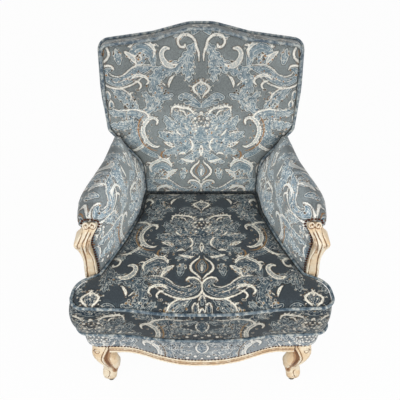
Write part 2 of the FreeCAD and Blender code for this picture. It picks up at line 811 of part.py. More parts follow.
def cushion_outline(z):
    """Right half of the T-shaped seat: bowed front, rounded ear, neck between the arms."""
    half, front = size("cushion_half_width"), size("cushion_front_y")
    ear, rear = size("cushion_ear_y"), CUSHION_REAR_Y
    neck_front, neck_rear = half - 73, size("back_waist") + 1
    span = neck_front - neck_rear
    return [
        (0.255 * half, front, 900.0),
        (0.56 * half, front + 18, 400.0),
        (half, front + 25, 34.0),
        (half - 6, ear - 31, 55.0),
        (neck_front, ear + 4, 14.0),
        (neck_rear + 0.477 * span, ear + 148, 300.0),
        (neck_rear + 0.09 * span, ear + 280, 150.0),
        (neck_rear, rear - (CUSHION_TOP - z) * math.tan(RAKE), 16.0),
    ]


def cushion_corners(z=CUSHION_TOP):
    """The whole outline at a height; its rear edge leans with the back."""
    return both_sides(cushion_outline(z))


def cushion_block(low, high, grow=0.0):
    """A slice of the cushion between two heights."""
    return loft([outline(cushion_corners(z), flat(z), grow) for z in (low, high)], ruled=True)


def cushion_dome(base, rise):
    return crowned(cushion_corners(), (0.0, -190.0), rise, lambda height: flat(base + height))


def cushion_core_shape():
    low = CUSHION_BOTTOM + cloth + gap / 2
    top = CUSHION_TOP - cloth - gap / 2
    inset = -(cloth + gap / 2)
    dome = cushion_dome(top, size("cushion_crown"))
    room = level_prism(cushion_corners(), low, top + 100, inset)
    return solids_only(cushion_block(low, top, inset).fuse(dome.common(room)).removeSplitter())


def cushion_top_shape():
    low, rise = CUSHION_TOP - cloth, size("cushion_crown")
    skin = level_prism(cushion_corners(), low, CUSHION_TOP).fuse(cushion_dome(CUSHION_TOP, rise))
    return solids_only(skin.cut(cushion_dome(low, rise)))


def cushion_boxing_shape():
    low = CUSHION_BOTTOM + cloth + gap / 2
    top = CUSHION_TOP - cloth - gap / 2
    return cushion_block(low, top).cut(cushion_block(low, top, -cloth))


def cushion_welt_shape(z):
    corners = moved_corners(cushion_corners(z), WELT + 0.3)
    return tube(rounded_edges(corners, flat(z)), WELT)


solid_part("cushion_core", cushion_core_shape())
solid_part("cushion_top_panel", cushion_top_shape())
solid_part("cushion_bottom_panel", cushion_block(CUSHION_BOTTOM, CUSHION_BOTTOM + cloth))
solid_part("cushion_boxing", cushion_boxing_shape())
solid_part("cushion_top_welt", cushion_welt_shape(CUSHION_SEAM))
solid_part("cushion_bottom_welt", cushion_welt_shape(CUSHION_BOTTOM + WELT))

# ---------------------------------------------------------------------------- arms


def arm_inner(y):
    """Inside face of the arm at seat level: the cushion's neck, its welt and a little room."""
    neck = moved_corners(cushion_corners(), 2 * WELT + size("arm_gap"))[4:8]
    return along([(x, depth) for x, depth, _ in neck], y)


def arm_outer(y):
    """Outside of the arm's roll in plan: a shallow bow through the widths at three depths."""
    ya, yb, yc = [ARM_FRONT_Y + share * ARM_LENGTH for share in (0.061, 0.41, 0.836)]
    y = min(y, yc)
    a = arm_inner(ya) + size("arm_front_width")
    b = arm_inner(yb) + size("arm_middle_width")
    c = arm_inner(yc) + size("arm_rear_width")
    return (a * (y - yb) * (y - yc) / ((ya - yb) * (ya - yc))
            + b * (y - ya) * (y - yc) / ((yb - ya) * (yb - yc))
            + c * (y - ya) * (y - yb) / ((yc - ya) * (yc - yb)))


# The roll of the arm from front to back: share of the arm's length, inner lean, drop of the bend
# below the top, inside edge of the roll from the arm's inner face, drop of the crest, crest radius,
# outward shift, depth of the roll.
ARM_ROLL = [
    (0.000, -2.0, 112.0, -34.9, 24.0, 20.0, -4.0, 34.0),
    (0.042, -3.0, 120.0, -31.8, 7.0, 34.0, 0.0, 62.0),
    (0.105, -3.0, 140.0, -31.7, 0.0, 42.0, 0.0, 76.0),
    (0.274, 0.0, 150.0, -12.5, 0.0, 46.0, 0.0, 78.0),
    (0.442, 2.0, 155.0, 8.9, 3.0, 48.0, 0.0, 78.0),
    (0.568, 3.0, 160.0, 32.5, 8.0, 44.0, 0.0, 76.0),
    (0.695, 4.0, 160.0, 50.4, 14.0, 34.0, 0.0, 70.0),
    (0.842, 5.0, 160.0, 73.0, 20.0, 20.0, 0.0, 62.0),
    (1.000, 5.0, 160.0, 88.0, 26.0, 8.0, 0.0, 52.0),
]
ARM_STATIONS = [ARM_FRONT_Y + row[0] * ARM_LENGTH for row in ARM_ROLL]


def arm_section(y):
    """Corners (x, z, radius) of the right arm at a station, anticlockwise from its outer foot."""
    _, lean, bend, roll, drop, crest, shift, depth = ARM_ROLL[ARM_STATIONS.index(y)]
    top = size("arm_height")
    inner = arm_inner(y)
    foot = DECK_TOP + gap
    edge = arm_outer(y) + shift
    under = top - drop - depth
    return [
        (max(edge - 12, side_line(y) + 4 if y > LEG_REAR_Y else 0), foot, 0.0),
        (edge - 12, under - 12, 5.0),
        (edge, under, 9.0),
        (edge, top - drop, crest),
        (inner + roll, top - drop, crest),
        (inner + lean, top - bend, 50.0),
        (inner, foot, 0.0),
    ]


def arm_body(grow):
    """The whole right arm as one form, grown or shrunk."""
    return loft([outline(arm_section(y), upright(y), grow) for y in ARM_STATIONS], ruled=True)


def arm_skin():
    """Cloth from inside the seat up over the roll, tucked in under it on the outside."""
    path = {y: arm_section(y)[1:] for y in ARM_STATIONS}
    wrap = loft([strip(path[y], upright(y), 0, -cloth) for y in ARM_STATIONS], ruled=True)
    front = ARM_STATIONS[0]
    nose = prism(outline(arm_section(front), upright(front)), Vector(0, cloth, 0))
    return wrap.fuse(nose)


def arm_hollow(grow=0.0):
    """The empty space inside the arm, between its inner padding and the outside panel."""
    wall = size("arm_wall")
    wires = []
    for y in (ARM_STATIONS[2] + 10, ARM_STATIONS[4], ARM_STATIONS[6], ARM_STATIONS[8] + 20):
        share = (y - ARM_STATIONS[2]) / (ARM_STATIONS[8] - ARM_STATIONS[2])
        base = arm_inner(min(y, CUSHION_REAR_Y)) + wall
        corners = [(base, DECK_TOP - 5, 0), (420.0, DECK_TOP - 5, 0), (420.0, hollow_top(y), 0),
                   (base + 4 + 34 * share, hollow_top(y), 0), (base, hollow_top(y) - 60, 0)]
        wires.append(outline(corners, upright(y), grow))
    return loft(wires, ruled=True)


def hollow_top(y):
    """Underside of the arm's roll padding at a depth y."""
    return size("arm_height") - 92 - 0.07 * (y - ARM_STATIONS[0])


def arm_post_blank():
    """The show-wood arm support: a slim post with a forward knuckle under a small scroll."""
    half, depth = size("post_width") / 2, size("post_depth")
    front = POST_FRONT_Y
    reach = size("knuckle_reach")
    centre = arm_post_x()
    rear = front + depth
    # height below the arm's top, sideways shift, half width, front y, rear y
    stations = [
        (size("arm_height") - RAIL_TOP, -2, half, front + 4, rear),
        (236.0, 0, half, front, rear),
        (170.0, 1, half + 1, front - 3, rear),
        (126.0, 2, half + 3, front - 0.40 * reach, rear),
        (100.0, 3, half + 4, front - 0.82 * reach, rear - 6),
        (82.0, 2, half + 4, front - reach, rear - 14),
        (62.0, -4, half + 3, front - 0.80 * reach, front + 15),
        (45.0, -13, half + 1, front - 0.25 * reach, front + 17),
        (37.0, -14, half - 3, front + 6, front + 19),
    ]
    wires = []
    for drop, shift, wide, y0, y1 in stations:
        x0, x1 = centre + shift - wide, centre + shift + wide
        corners = [(x0, y0, 7), (x1, y0, 7), (x1, y1, 4), (x0, y1, 4)]
        wires.append(outline(corners, flat(size("arm_height") - drop)))
    return loft(wires, ruled=True)


def arm_post_x():
    """Middle of the arm support in plan, just outside the arm's inner cloth."""
    return arm_inner(ARM_FRONT_Y) + cloth + gap + size("post_width") / 2


post_shape = arm_post_blank()
solid_part("right_arm_post", post_shape)


def arm_rail_shape():
    """The arm rail, from the back of the scroll down to the stile, inside the roll."""
    wide, high = size("arm_rail_width"), size("arm_rail_height")
    front = POST_FRONT_Y + 14
    top = size("arm_height") - 40
    x = arm_post_x() - 16
    rear_x = STILE_INNER_X + 45
    wires = []
    for centre, y, z in ((x, front, top), (rear_x, 275.0, top - 54)):
        corners = [(centre - wide / 2, z - high, 0), (centre + wide / 2, z - high, 0),
                   (centre + wide / 2, z, 0), (centre - wide / 2, z, 0)]
        wires.append(outline(corners, upright(y)))
    rail = loft(wires, ruled=True).cut(post_shape).cut(post_blank.Shape)
    return min(rail.Solids, key=lambda solid: abs(solid.CenterOfMass.y))


def tack_rail_shape():
    """The lower arm rail that the inside cloth is pulled under."""
    high, wide = size("tack_rail_height"), 18.0
    low = DECK_TOP + 12
    wires = []
    for centre, y in ((arm_post_x(), POST_FRONT_Y + 20), (STILE_INNER_X + 22, 240.0)):
        corners = [(centre - wide / 2, low, 0), (centre + wide / 2, low, 0),
                   (centre + wide / 2, low + high, 0), (centre - wide / 2, low + high, 0)]
        wires.append(outline(corners, upright(y)))
    rail = loft(wires, ruled=True).cut(post_shape).cut(post_blank.Shape)
    return min(rail.Solids, key=lambda solid: abs(solid.CenterOfMass.y))


arm_rail = arm_rail_shape()
tack_rail = tack_rail_shape()
solid_part("right_arm_rail", arm_rail)
solid_part("right_arm_tack_rail", tack_rail)

back_space = raked_prism(pad_corners(), -WELT, 300, 2 * WELT + gap + 0.2)
back_box = back_box_shape(-gap, -1, size("back_depth"))
stile_space = between_stiles()
outer_back = raked_prism([(-400, -400, 0), (400, -400, 0), (400, 600, 0), (-400, 600, 0)],
                         size("back_depth") - size("panel_thickness") - gap, 400)


def arm_free(shape):
    """An arm's soft piece without the wood and the back that it is fitted round."""
    for tool in (post_shape, arm_rail, tack_rail, post_blank.Shape, back_space, back_box, outer_back,
                 stile_space, webbing):
        shape = shape.cut(tool)
    return solids_only(shape)


def arm_panel_form(outwards):
    """The flat outside of the arm, from under the roll down over the side rail."""
    low = size("rail_bottom") + 2
    thick = size("panel_thickness")
    wires = []
    for y in [POST_FRONT_Y + 18] + ARM_STATIONS[2:] + [ARM_STATIONS[-1] + 40]:
        at = min(max(y, ARM_STATIONS[2]), ARM_STATIONS[-1])
        edge, under, _ = arm_section(at)[1]
        base = side_line(y) + 2 * gap + thick
        if y > STILE_FRONT_Y:
            base = STILE_OUTER_X + 2 * gap + thick
        corners = [(base, low, 0.0), (base, RAIL_TOP, 0.0), (max(edge, base), under - gap, 0.0)]
        wires.append(strip(corners, upright(y), outwards, -thick))
    return loft(wires, ruled=True)


def arm_panel_shape():
    panel = arm_panel_form(0)
    for tool in (post_shape, outer_back, post_blank.Shape):
        panel = panel.cut(tool)
    return solids_only(panel)


def arm_pad_shape():
    """The padding of the arm, behind its cloth and round the hollow over the seat rail."""
    body = arm_body(-(cloth + gap / 2))
    cap = box((0, ARM_STATIONS[0], 0), (500, ARM_STATIONS[0] + cloth + gap / 2, 900))
    for tool in (cap, arm_hollow(), arm_panel_form(60.0), arm_skin()):
        body = body.cut(tool)
    return arm_free(body)


solid_part("right_arm_pad", arm_pad_shape())
solid_part("right_arm_inside_cover", arm_free(arm_skin()))
arm_panel = arm_panel_shape()
solid_part("right_arm_outside_panel", arm_panel)


def arm_hessian_shape():
    """Hessian stretched inside the arm, behind its padding, from tack rail to arm rail."""
    near, far = arm_hollow(), arm_hollow()
    near.translate(Vector(gap / 2, 0, 0))
    far.translate(Vector(gap / 2 + size("hessian"), 0, 0))
    linen = near.cut(far)
    for tool in (arm_rail, tack_rail, arm_panel):
        linen = linen.cut(tool)
    return arm_free(linen)


solid_part("right_arm_hessian", arm_hessian_shape())

# ------------------------------------------------------------------ nails and band


# room between a nail head and the cloth that it holds
NAIL_SEAT = 0.4


def nail(base, normal, radius):
    """A domed nail head, standing on base and facing along normal."""
    rise = 0.45 * radius
    ball = (radius ** 2 + rise ** 2) / (2 * rise)
    start = math.degrees(math.asin((ball - rise) / ball))
    normal = Vector(*normal).normalize()
    centre = Vector(*base) - normal * (ball - rise)
    return Part.makeSphere(ball, centre, normal, start, 90, 360)


def arm_nails_shape():
    """Nails down the inner edge of the arm support and round the top of its scroll."""
    radius, pitch = size("arm_nail_radius"), size("arm_nail_pitch")
    form = arm_body(0)

    def inner_face(y, z):
        probe = Part.LineSegment(Vector(0, y, z), Vector(arm_post_x(), y, z)).toShape()
        return min(vertex.X for vertex in probe.common(form).Vertexes)

    y = ARM_STATIONS[0] + radius + 0.6
    nails = []
    z = DECK_TOP + 14
    while z < size("arm_height") - 72:
        # no nail where the cushion's welt presses against the arm
        if abs(z - CUSHION_SEAM) > WELT + 0.5:
            x = inner_face(y, z)
            normal = (-1, (inner_face(y + 4, z) - x) / 4, (inner_face(y, z + 4) - x) / 4)
            seat = Vector(x, y, z) + Vector(*normal).normalize() * NAIL_SEAT
            nails.append(nail(tuple(seat), normal, radius))
        z += pitch
    top = [corner for corner in arm_section(ARM_STATIONS[0])[2:6]]
    rim = moved_corners(top, -radius - 0.8, closed=False)
    path = Part.Wire(rounded_edges(rim, upright(ARM_STATIONS[0] - NAIL_SEAT), closed=False))
    count = int(path.Length / pitch)
    for point in path.discretize(count + 1):
        scroll_side = point.x > arm_post_x() and point.z < size("arm_height") - 43
        if point.z > z - 0.4 * pitch and not scroll_side:
            nails.append(nail(tuple(point), (0, -1, 0), radius))
    return Part.makeCompound(nails)


solid_part("right_arm_nails", arm_nails_shape())
for right_name in ("arm_post", "arm_rail", "arm_tack_rail", "arm_hessian", "arm_pad",
                   "arm_inside_cover", "arm_outside_panel", "arm_nails"):
    source = [obj for obj in sub_parts if obj.Label == "right_" + right_name][0]
    mirror_part(source, "left_" + right_name)


def seat_front(out, radius_out, end_y):
    """Right half of the seat's front in plan, from the side round the corner to the middle."""
    x = LEG_OUTER_X + out
    return [(x, end_y, 0.0), (x, FRONT_CORNER_Y - out, size("leg_corner_radius") + radius_out)] \
        + front_corners(out)


BAND_LOW = APRON_MIDDLE_Z + size("apron_strip_height")
# height, share of the band's thickness
BAND_SWELL = [(BAND_LOW, 0.8), (BAND_LOW + 32, 0.95), (BAND_LOW + 72, 1.3), (DECK_TOP - 1, 1.05)]


def band_shape():
    """The padded cloth band over the front rail and round both corners to the arm supports."""
    bulge = size("band_thickness")
    end_y = POST_FRONT_Y + 18
    wires = []
    for z, share in BAND_SWELL:
        out = share * bulge
        wires.append(outline(both_sides(seat_front(out, out, end_y)), flat(z)))
    block = loft(wires, ruled=True)
    inner = prism(outline(both_sides(seat_front(0.3, 0.3, end_y + 10)), flat(0)), Vector(0, 0, 600))
    half_width = LEG_OUTER_X + 40
    steps = 24
    points = []
    for i in range(steps + 1):
        x = half_width * (2.0 * i / steps - 1)
        points.append(Vector(x, -500, apron_z(x) + size("apron_strip_height") + 0.3))
    edge = Part.BSplineCurve()
    edge.interpolate(points)
    below = [Vector(half_width, -500, 0), Vector(-half_width, -500, 0)]
    wire = Part.Wire([edge.toShape(), Part.LineSegment(points[-1], below[0]).toShape(),
                      Part.LineSegment(below[0], below[1]).toShape(),
                      Part.LineSegment(below[1], points[0]).toShape()])
    lower = Part.Face(wire).extrude(Vector(0, 400, 0))
    left_post = post_shape.mirror(Vector(0, 0, 0), Vector(1, 0, 0))
    return solids_only(block.cut(inner).cut(lower).cut(post_shape).cut(left_post))


front_band = band_shape()
solid_part("front_band", front_band)


def rail_nails_shape():
    """Small nails along the lower edge of the band, above the moulded apron."""
    radius = size("rail_nail_radius")
    half = seat_front(0, 0, POST_FRONT_Y + 24)
    path = Part.Wire(rounded_edges(both_sides(half), flat(0), closed=False))
    count = int(path.Length / size("rail_nail_pitch"))
    points = path.discretize(count + 1)
    nails = []
    for before, point, after in zip(points, points[1:], points[2:]):
        tangent = after - before
        normal = Vector(-tangent.y, tangent.x, 0)
        if normal.dot(Vector(point.x, point.y + 200, 0)) < 0:
            normal = -normal
        z = apron_z(point.x) + size("apron_strip_height") + radius + 1
        swell = along([(share, level) for level, share in BAND_SWELL], z)
        base = point + normal.normalize() * (swell * size("band_thickness") + NAIL_SEAT)
        nails.append(nail((base.x, base.y, z), tuple(normal), radius))
    return Part.makeCompound(nails)


solid_part("rail_nails", rail_nails_shape())

# --------------------------------------------------------------------- seat deck


def deck_outline(inset):
    """Right half of the seat deck: over the front rail, in past the arms, to the rear rail."""
    edge = LEG_OUTER_X - inset
    post_in = arm_post_x() - size("post_width") / 2 - 3.5
    post_y = POST_FRONT_Y - 6
    rear = STILE_FRONT_Y + size("rail_thickness") - 8
    return list(reversed(front_corners(-inset))) + [
        (edge, FRONT_CORNER_Y + inset, size("leg_corner_radius") - 4),
        (edge, post_y, 0.0),
        (post_in, post_y, 0.0),
        (post_in, post_y + 48, 0.0),
        (arm_inner(ARM_STATIONS[3]) + 14, ARM_STATIONS[3], 0.0),
        (arm_inner(ARM_STATIONS[5]) + 8, ARM_STATIONS[5], 0.0),
        (STILE_INNER_X - 2, CUSHION_REAR_Y, 0.0),
        (STILE_INNER_X - 2, rear, 0.0),
    ]


def deck_layer(low, high, inset):
    return level_prism(both_sides(deck_outline(inset)), low, high)


solid_part("seat_hessian", deck_layer(HESSIAN_TOP - size("hessian"), HESSIAN_TOP, 5.0))
solid_part("seat_deck_pad", deck_layer(DECK_PAD_TOP - size("deck_pad"), DECK_PAD_TOP, 3.0))
solid_part("seat_deck_cover", deck_layer(DECK_TOP - cloth, DECK_TOP, 1.0))

SPRING_Z = RAIL_TOP + gap + size("spring_wire") / 2
SPRING_FIRST_Y = FRONT_RAIL_BACK_Y - 9
SPRING_LAST_Y = STILE_FRONT_Y + 2 + size("rail_thickness") / 2


def spring_lines():
    """The x of each seat spring, evenly spaced between the sides at the rear."""
    count = int(size("spring_count"))
    step = 2 * (STILE_INNER_X - size("spring_width")) / count
    return [step * (i - (count - 1) / 2) for i in range(count)]


def spring_shape(x):
    """One sinuous spring: straight runs across, joined by half turns, front rail to rear."""
    runs = int(round((SPRING_LAST_Y - SPRING_FIRST_Y) / size("spring_pitch")))
    pitch = (SPRING_LAST_Y - SPRING_FIRST_Y) / runs
    turn = pitch / 2
    reach = size("spring_width") / 2 - turn
    edges = []
    for i in range(runs + 1):
        y = SPRING_FIRST_Y + i * pitch
        way = 1 if i % 2 == 0 else -1
        a, b = Vector(x - way * reach, y, SPRING_Z), Vector(x + way * reach, y, SPRING_Z)
        edges.append(Part.LineSegment(a, b).toShape())
        if i < runs:
            mid = b + Vector(way * turn, turn, 0)
            edges.append(Part.Arc(b, mid, b + Vector(0, pitch, 0)).toShape())
    return tube(edges, size("spring_wire") / 2)


def clip_shape(x, y):
    """A spring clip: a folded plate round the end run of a spring, seated on its rail."""
    wide = size("spring_width") - size("spring_pitch") - 4
    deep = size("spring_wire") + 4
    block = box((x - wide / 2, y - deep / 2, RAIL_TOP), (x + wide / 2, y + deep / 2, CLIP_TOP))
    bore = rod((x - wide, y, SPRING_Z), (x + wide, y, SPRING_Z), size("spring_wire") / 2 + 0.05)
    return block.cut(bore)


solid_part("seat_springs", Part.makeCompound([spring_shape(x) for x in spring_lines()]))
solid_part("spring_clips", Part.makeCompound([clip_shape(x, y) for x in spring_lines()
                                              for y in (SPRING_FIRST_Y, SPRING_LAST_Y)]))


def corner_block_set():
    """Four glue blocks, one in each corner of the seat frame, bored for their screws."""
    low, high = size("rail_bottom") + 13, RAIL_TOP - 13
    front, rear = FRONT_RAIL_BACK_Y, STILE_FRONT_Y
    thick = size("rail_thickness")
    reach = 62.0
    front_corner = [(LEG_INNER_X - 70, front, 0), (LEG_INNER_X, front, 0), (LEG_INNER_X, LEG_REAR_Y, 0),
                    (LEG_OUTER_X - thick, LEG_REAR_Y, 0),
                    (side_line(LEG_REAR_Y + reach, -thick), LEG_REAR_Y + reach, 0)]
    rear_corner = [(side_line(rear - reach, -thick), rear - reach, 0), (side_line(rear, -thick), rear, 0),
                   (STILE_INNER_X, rear, 0), (STILE_INNER_X, rear + 2, 0),
                   (STILE_INNER_X - 65, rear + 2, 0)]
    blocks = []
    for corners in (front_corner, rear_corner):
        block = level_prism(corners, low, high)
        twin = block.mirror(Vector(0, 0, 0), Vector(1, 0, 0))
        right = block.cut(right_side_rail.Shape).cut(right_front_leg.Shape)
        left = twin.cut(left_side_rail.Shape).cut(left_front_leg.Shape)
        blocks += [solids_only(solid.cut(corner_screws.Shape)) for solid in (right, left)]
    return Part.makeCompound(blocks)


solid_part("corner_blocks", corner_block_set())


def dust_cover_shape():
    """Black cloth under the seat, tacked to the undersides of the side and rear rails."""
    front, rear = FRONT_RAIL_BACK_Y + 0.4, STILE_FRONT_Y
    inset = 8.0
    leg_y = LEG_REAR_Y + 8
    half = [(LEG_INNER_X - 14, front, 0), (LEG_INNER_X - 14, leg_y, 0), (side_line(leg_y, -inset), leg_y, 0),
            (side_line(-35.0, -inset), -35.0, 0), (side_line(rear - 4, -inset), rear - 4, 0),
            (STILE_INNER_X - 2, rear - 4, 0), (STILE_INNER_X - 2, rear + 26, 0)]
    top = size("rail_bottom") - 0.2
    return level_prism(both_sides(half), top - 0.8, top)


solid_part("dust_cover", dust_cover_shape())


def glide(name, x_rule, y_rule):
    """A round glide under a foot, bound to the sheet."""
    disc = doc.addObject("Part::Cylinder", name)
    disc.setExpression("Radius", "Sizes.glide_radius")
    disc.setExpression("Height", "Sizes.glide_height")
    disc.setExpression("Placement.Base.x", x_rule)
    disc.setExpression("Placement.Base.y", y_rule)
    return disc


front_x = "(Sizes.cushion_half_width - Sizes.cushion_overhang - Sizes.foot_inset)"
front_y = "Sizes.cushion_front_y + Sizes.front_overhang + Sizes.foot_setback + 3"
rear_x = "(Sizes.back_waist + Sizes.stile_outset + Sizes.stile_width / 2 + 6)"
rear_y = "Sizes.back_face_y + Sizes.stile_setback + Sizes.stile_kick"
glides = doc.addObject("Part::Compound", "foot_glides")
glides.Links = [
    glide("glide_front_right", front_x, front_y),
    glide("glide_front_left", "-" + front_x, front_y),
    glide("glide_rear_right", rear_x, rear_y),
    glide("glide_rear_left", "-" + rear_x, rear_y),
]
keep(glides, "foot_glides")

doc.recompute()
for obj in doc.Objects:
    if "Invalid" in obj.State or "Error" in obj.State:
        raise RuntimeError("%s did not recompute: %s" % (obj.Label, obj.State))
for obj in sub_parts:
    if obj.Shape.isNull() or not obj.Shape.isValid() or not obj.Shape.Solids:
        raise RuntimeError("%s has no sound solid" % obj.Label)

os.makedirs("parts", exist_ok=True)
for obj in sub_parts:
    obj.Shape.exportStep("parts/%s.step" % obj.Label)
print(len(sub_parts), "sub-parts written")
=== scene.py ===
import math

import bpy
import numpy as np
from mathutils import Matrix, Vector
from mathutils.bvhtree import BVHTree


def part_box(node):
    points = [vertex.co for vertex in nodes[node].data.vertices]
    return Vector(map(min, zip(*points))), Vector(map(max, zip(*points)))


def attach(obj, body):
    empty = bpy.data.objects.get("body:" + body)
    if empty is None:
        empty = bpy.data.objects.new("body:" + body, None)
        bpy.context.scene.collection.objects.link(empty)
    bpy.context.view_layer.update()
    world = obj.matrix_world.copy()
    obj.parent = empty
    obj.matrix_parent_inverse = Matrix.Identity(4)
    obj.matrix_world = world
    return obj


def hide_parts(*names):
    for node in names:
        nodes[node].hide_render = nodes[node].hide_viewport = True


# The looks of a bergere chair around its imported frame: simulated upholstery in a woven
# damask, carved and painted show wood, a pale floor and soft light. Lengths are metres in the
# part's frame, except in tables of places and in the damask's drawing, which are in millimetres.

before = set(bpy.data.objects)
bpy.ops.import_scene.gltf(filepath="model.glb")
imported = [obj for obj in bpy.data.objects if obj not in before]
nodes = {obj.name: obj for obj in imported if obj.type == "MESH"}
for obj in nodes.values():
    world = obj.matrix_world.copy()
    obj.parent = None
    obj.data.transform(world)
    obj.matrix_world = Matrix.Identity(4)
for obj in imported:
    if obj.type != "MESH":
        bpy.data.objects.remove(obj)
scene = bpy.context.scene
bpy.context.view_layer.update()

MM = 0.001

# ------------------------------------------------------------------------ mesh helpers


def points_of(mesh):
    """The vertices of a mesh as an array."""
    flat = np.empty(len(mesh.vertices) * 3, np.float32)
    mesh.vertices.foreach_get("co", flat)
    return flat.reshape(-1, 3).astype(float)


def set_points(mesh, points):
    mesh.vertices.foreach_set("co", points.astype(np.float32).ravel())
    mesh.update()


def normals_of(mesh):
    flat = np.empty(len(mesh.vertices) * 3, np.float32)
    mesh.vertex_normals.foreach_get("vector", flat)
    return flat.reshape(-1, 3).astype(float)


def edges_of(mesh):
    """The points at the two ends of each edge."""
    flat = np.empty(len(mesh.edges) * 2, np.int32)
    mesh.edges.foreach_get("vertices", flat)
    return flat.reshape(-1, 2).T


def store(piece, name, values):
    """Keeps one number for each point, which the materials read."""
    kept = piece.data.attributes
    made = kept[name] if name in kept else kept.new(name, "FLOAT", "POINT")
    made.data.foreach_set("value", values.astype(np.float32))


def surface_of(mesh):
    return BVHTree.FromPolygons([v.co for v in mesh.vertices], [f.vertices for f in mesh.polygons])


def new_piece(name, points, faces):
    """A smooth-shaded mesh object from points and faces."""
    mesh = bpy.data.meshes.new(name)
    mesh.from_pydata([tuple(p) for p in points], [], faces)
    mesh.update()
    piece = bpy.data.objects.new(name, mesh)
    scene.collection.objects.link(piece)
    smooth(piece)
    return piece


def smooth(piece):
    piece.data.polygons.foreach_set("use_smooth", [True] * len(piece.data.polygons))


def apply_modifiers(piece):
    """Replaces the piece's mesh by what its modifiers make of it."""
    graph = bpy.context.evaluated_depsgraph_get()
    made = bpy.data.meshes.new_from_object(piece.evaluated_get(graph))
    piece.modifiers.clear()
    piece.data = made


def evened(piece, voxel):
    """Turns the piece's solids into one closed skin of even faces."""
    remesh = piece.modifiers.new("even", "REMESH")
    remesh.mode = "VOXEL"
    remesh.voxel_size = voxel
    apply_modifiers(piece)
    smooth(piece)


def even_copy(node, name, voxel):
    """A closed copy of a CAD node with an even mesh."""
    piece = bpy.data.objects.new(name, nodes[node].data.copy())
    scene.collection.objects.link(piece)
    evened(piece, voxel)
    piece.data.materials.clear()
    return piece


def subdivide(piece):
    divide = piece.modifiers.new("divide", "SUBSURF")
    divide.levels = divide.render_levels = 1
    apply_modifiers(piece)
    smooth(piece)


RELAX_PULL, RELAX_PUSH = 0.6, -0.62


def relax(piece, free, rounds):
    """Evens out the points, each by its share of freedom, without losing fullness."""
    a, b = edges_of(piece.data)
    points = points_of(piece.data)
    count = len(points)
    degree = np.bincount(a, minlength=count) + np.bincount(b, minlength=count)
    for pull in (RELAX_PULL, RELAX_PUSH) * rounds:
        for axis in range(3):
            total = np.bincount(a, points[b, axis], count) + np.bincount(b, points[a, axis], count)
            points[:, axis] += pull * free * (total / degree - points[:, axis])
    set_points(piece.data, points)


def puff(piece, held, pressure, cap, frames=20):
    """Inflates a closed piece as cloth with some points held; cap limits how far each moves."""
    start = points_of(piece.data)
    group = piece.vertex_groups.new(name="held")
    group.add([int(i) for i in np.flatnonzero(held)], 1.0, "REPLACE")
    cloth = piece.modifiers.new("puff", "CLOTH")
    cloth.settings.use_pressure = True
    cloth.settings.uniform_pressure_force = pressure
    cloth.settings.vertex_group_mass = "held"
    cloth.settings.effector_weights.gravity = 0.0
    cloth.point_cache.frame_end = frames
    for number in range(1, frames + 1):
        scene.frame_set(number)
    graph = bpy.context.evaluated_depsgraph_get()
    moved = points_of(piece.evaluated_get(graph).data)
    piece.modifiers.clear()
    piece.vertex_groups.clear()
    scene.frame_set(1)
    step = moved - start
    length = np.linalg.norm(step, axis=1)
    step *= (np.minimum(length, cap) / np.maximum(length, 1e-9))[:, None]
    set_points(piece.data, start + step)


def grow(piece, distance):
    """Moves every point outwards along its normal."""
    set_points(piece.data, points_of(piece.data) + normals_of(piece.data) * distance)


def mirrored(piece, name):
    """The left-hand twin of a piece, with its faces turned back outwards."""
    mesh = piece.data.copy()
    points = points_of(mesh)
    points[:, 0] *= -1
    set_points(mesh, points)
    mesh.flip_normals()
    twin = bpy.data.objects.new(name, mesh)
    scene.collection.objects.link(twin)
    return twin


# ------------------------------------------------------------- reading shapes off the CAD


def cut(node, origin, across, up):
    """Where a plane cuts a node: line segments (start, end) in the plane's own axes."""
    mesh = nodes[node].data
    mesh.calc_loop_triangles()
    corners = np.empty(len(mesh.loop_triangles) * 3, np.int32)
    mesh.loop_triangles.foreach_get("vertices", corners)
    points = points_of(mesh) - np.array(origin)
    height = points @ np.cross(across, up) + 1e-7
    flat = np.stack([points @ np.array(across), points @ np.array(up)], 1)
    triangles = corners.reshape(-1, 3)
    side = height[triangles] > 0
    triangles = triangles[side.any(1) & ~side.all(1)]
    ends = []
    for i, j in ((0, 1), (1, 2), (2, 0)):
        a, b = triangles[:, i], triangles[:, j]
        ha, hb = height[a], height[b]
        crossing = (ha > 0) != (hb > 0)
        share = np.where(crossing, ha / np.where(crossing, ha - hb, 1.0), 0.0)[:, None]
        ends.append((crossing, flat[a] + share * (flat[b] - flat[a])))
    first = np.where(ends[0][0][:, None], ends[0][1], ends[1][1])
    last = np.where(ends[2][0][:, None], ends[2][1], ends[1][1])
    return first, last


def ways(angles):
    return np.stack([np.cos(angles), np.sin(angles)], 1)


def radii(segments, centre, angles):
    """How far the outermost segment is from a centre, in each direction."""
    a, b = segments[0] - centre, segments[1] - centre
    e = b - a
    d = ways(angles)
    cross_de = d[:, None, 0] * e[None, :, 1] - d[:, None, 1] * e[None, :, 0]
    cross_de = np.where(np.abs(cross_de) < 1e-12, 1e-12, cross_de)
    cross_ae = (a[:, 0] * e[:, 1] - a[:, 1] * e[:, 0])[None, :]
    cross_ad = a[None, :, 0] * d[:, None, 1] - a[None, :, 1] * d[:, None, 0]
    r = cross_ae / cross_de
    t = cross_ad / cross_de
    good = (t >= -1e-6) & (t <= 1 + 1e-6) & (r > 0)
    return np.where(good, r, 0.0).max(1)


def ring_faces(rows, columns, closed=True):
    """Quads over rows of points that run round in columns."""
    faces = []
    for row in range(rows - 1):
        for column in range(columns if closed else columns - 1):
            after = (column + 1) % columns
            faces.append((row * columns + column, row * columns + after,
                          (row + 1) * columns + after, (row + 1) * columns + column))
    return faces


def end_faces(rows, columns):
    """The two faces that close rows of points into a solid."""
    return [tuple(range(columns))[::-1], tuple(range((rows - 1) * columns, rows * columns))]


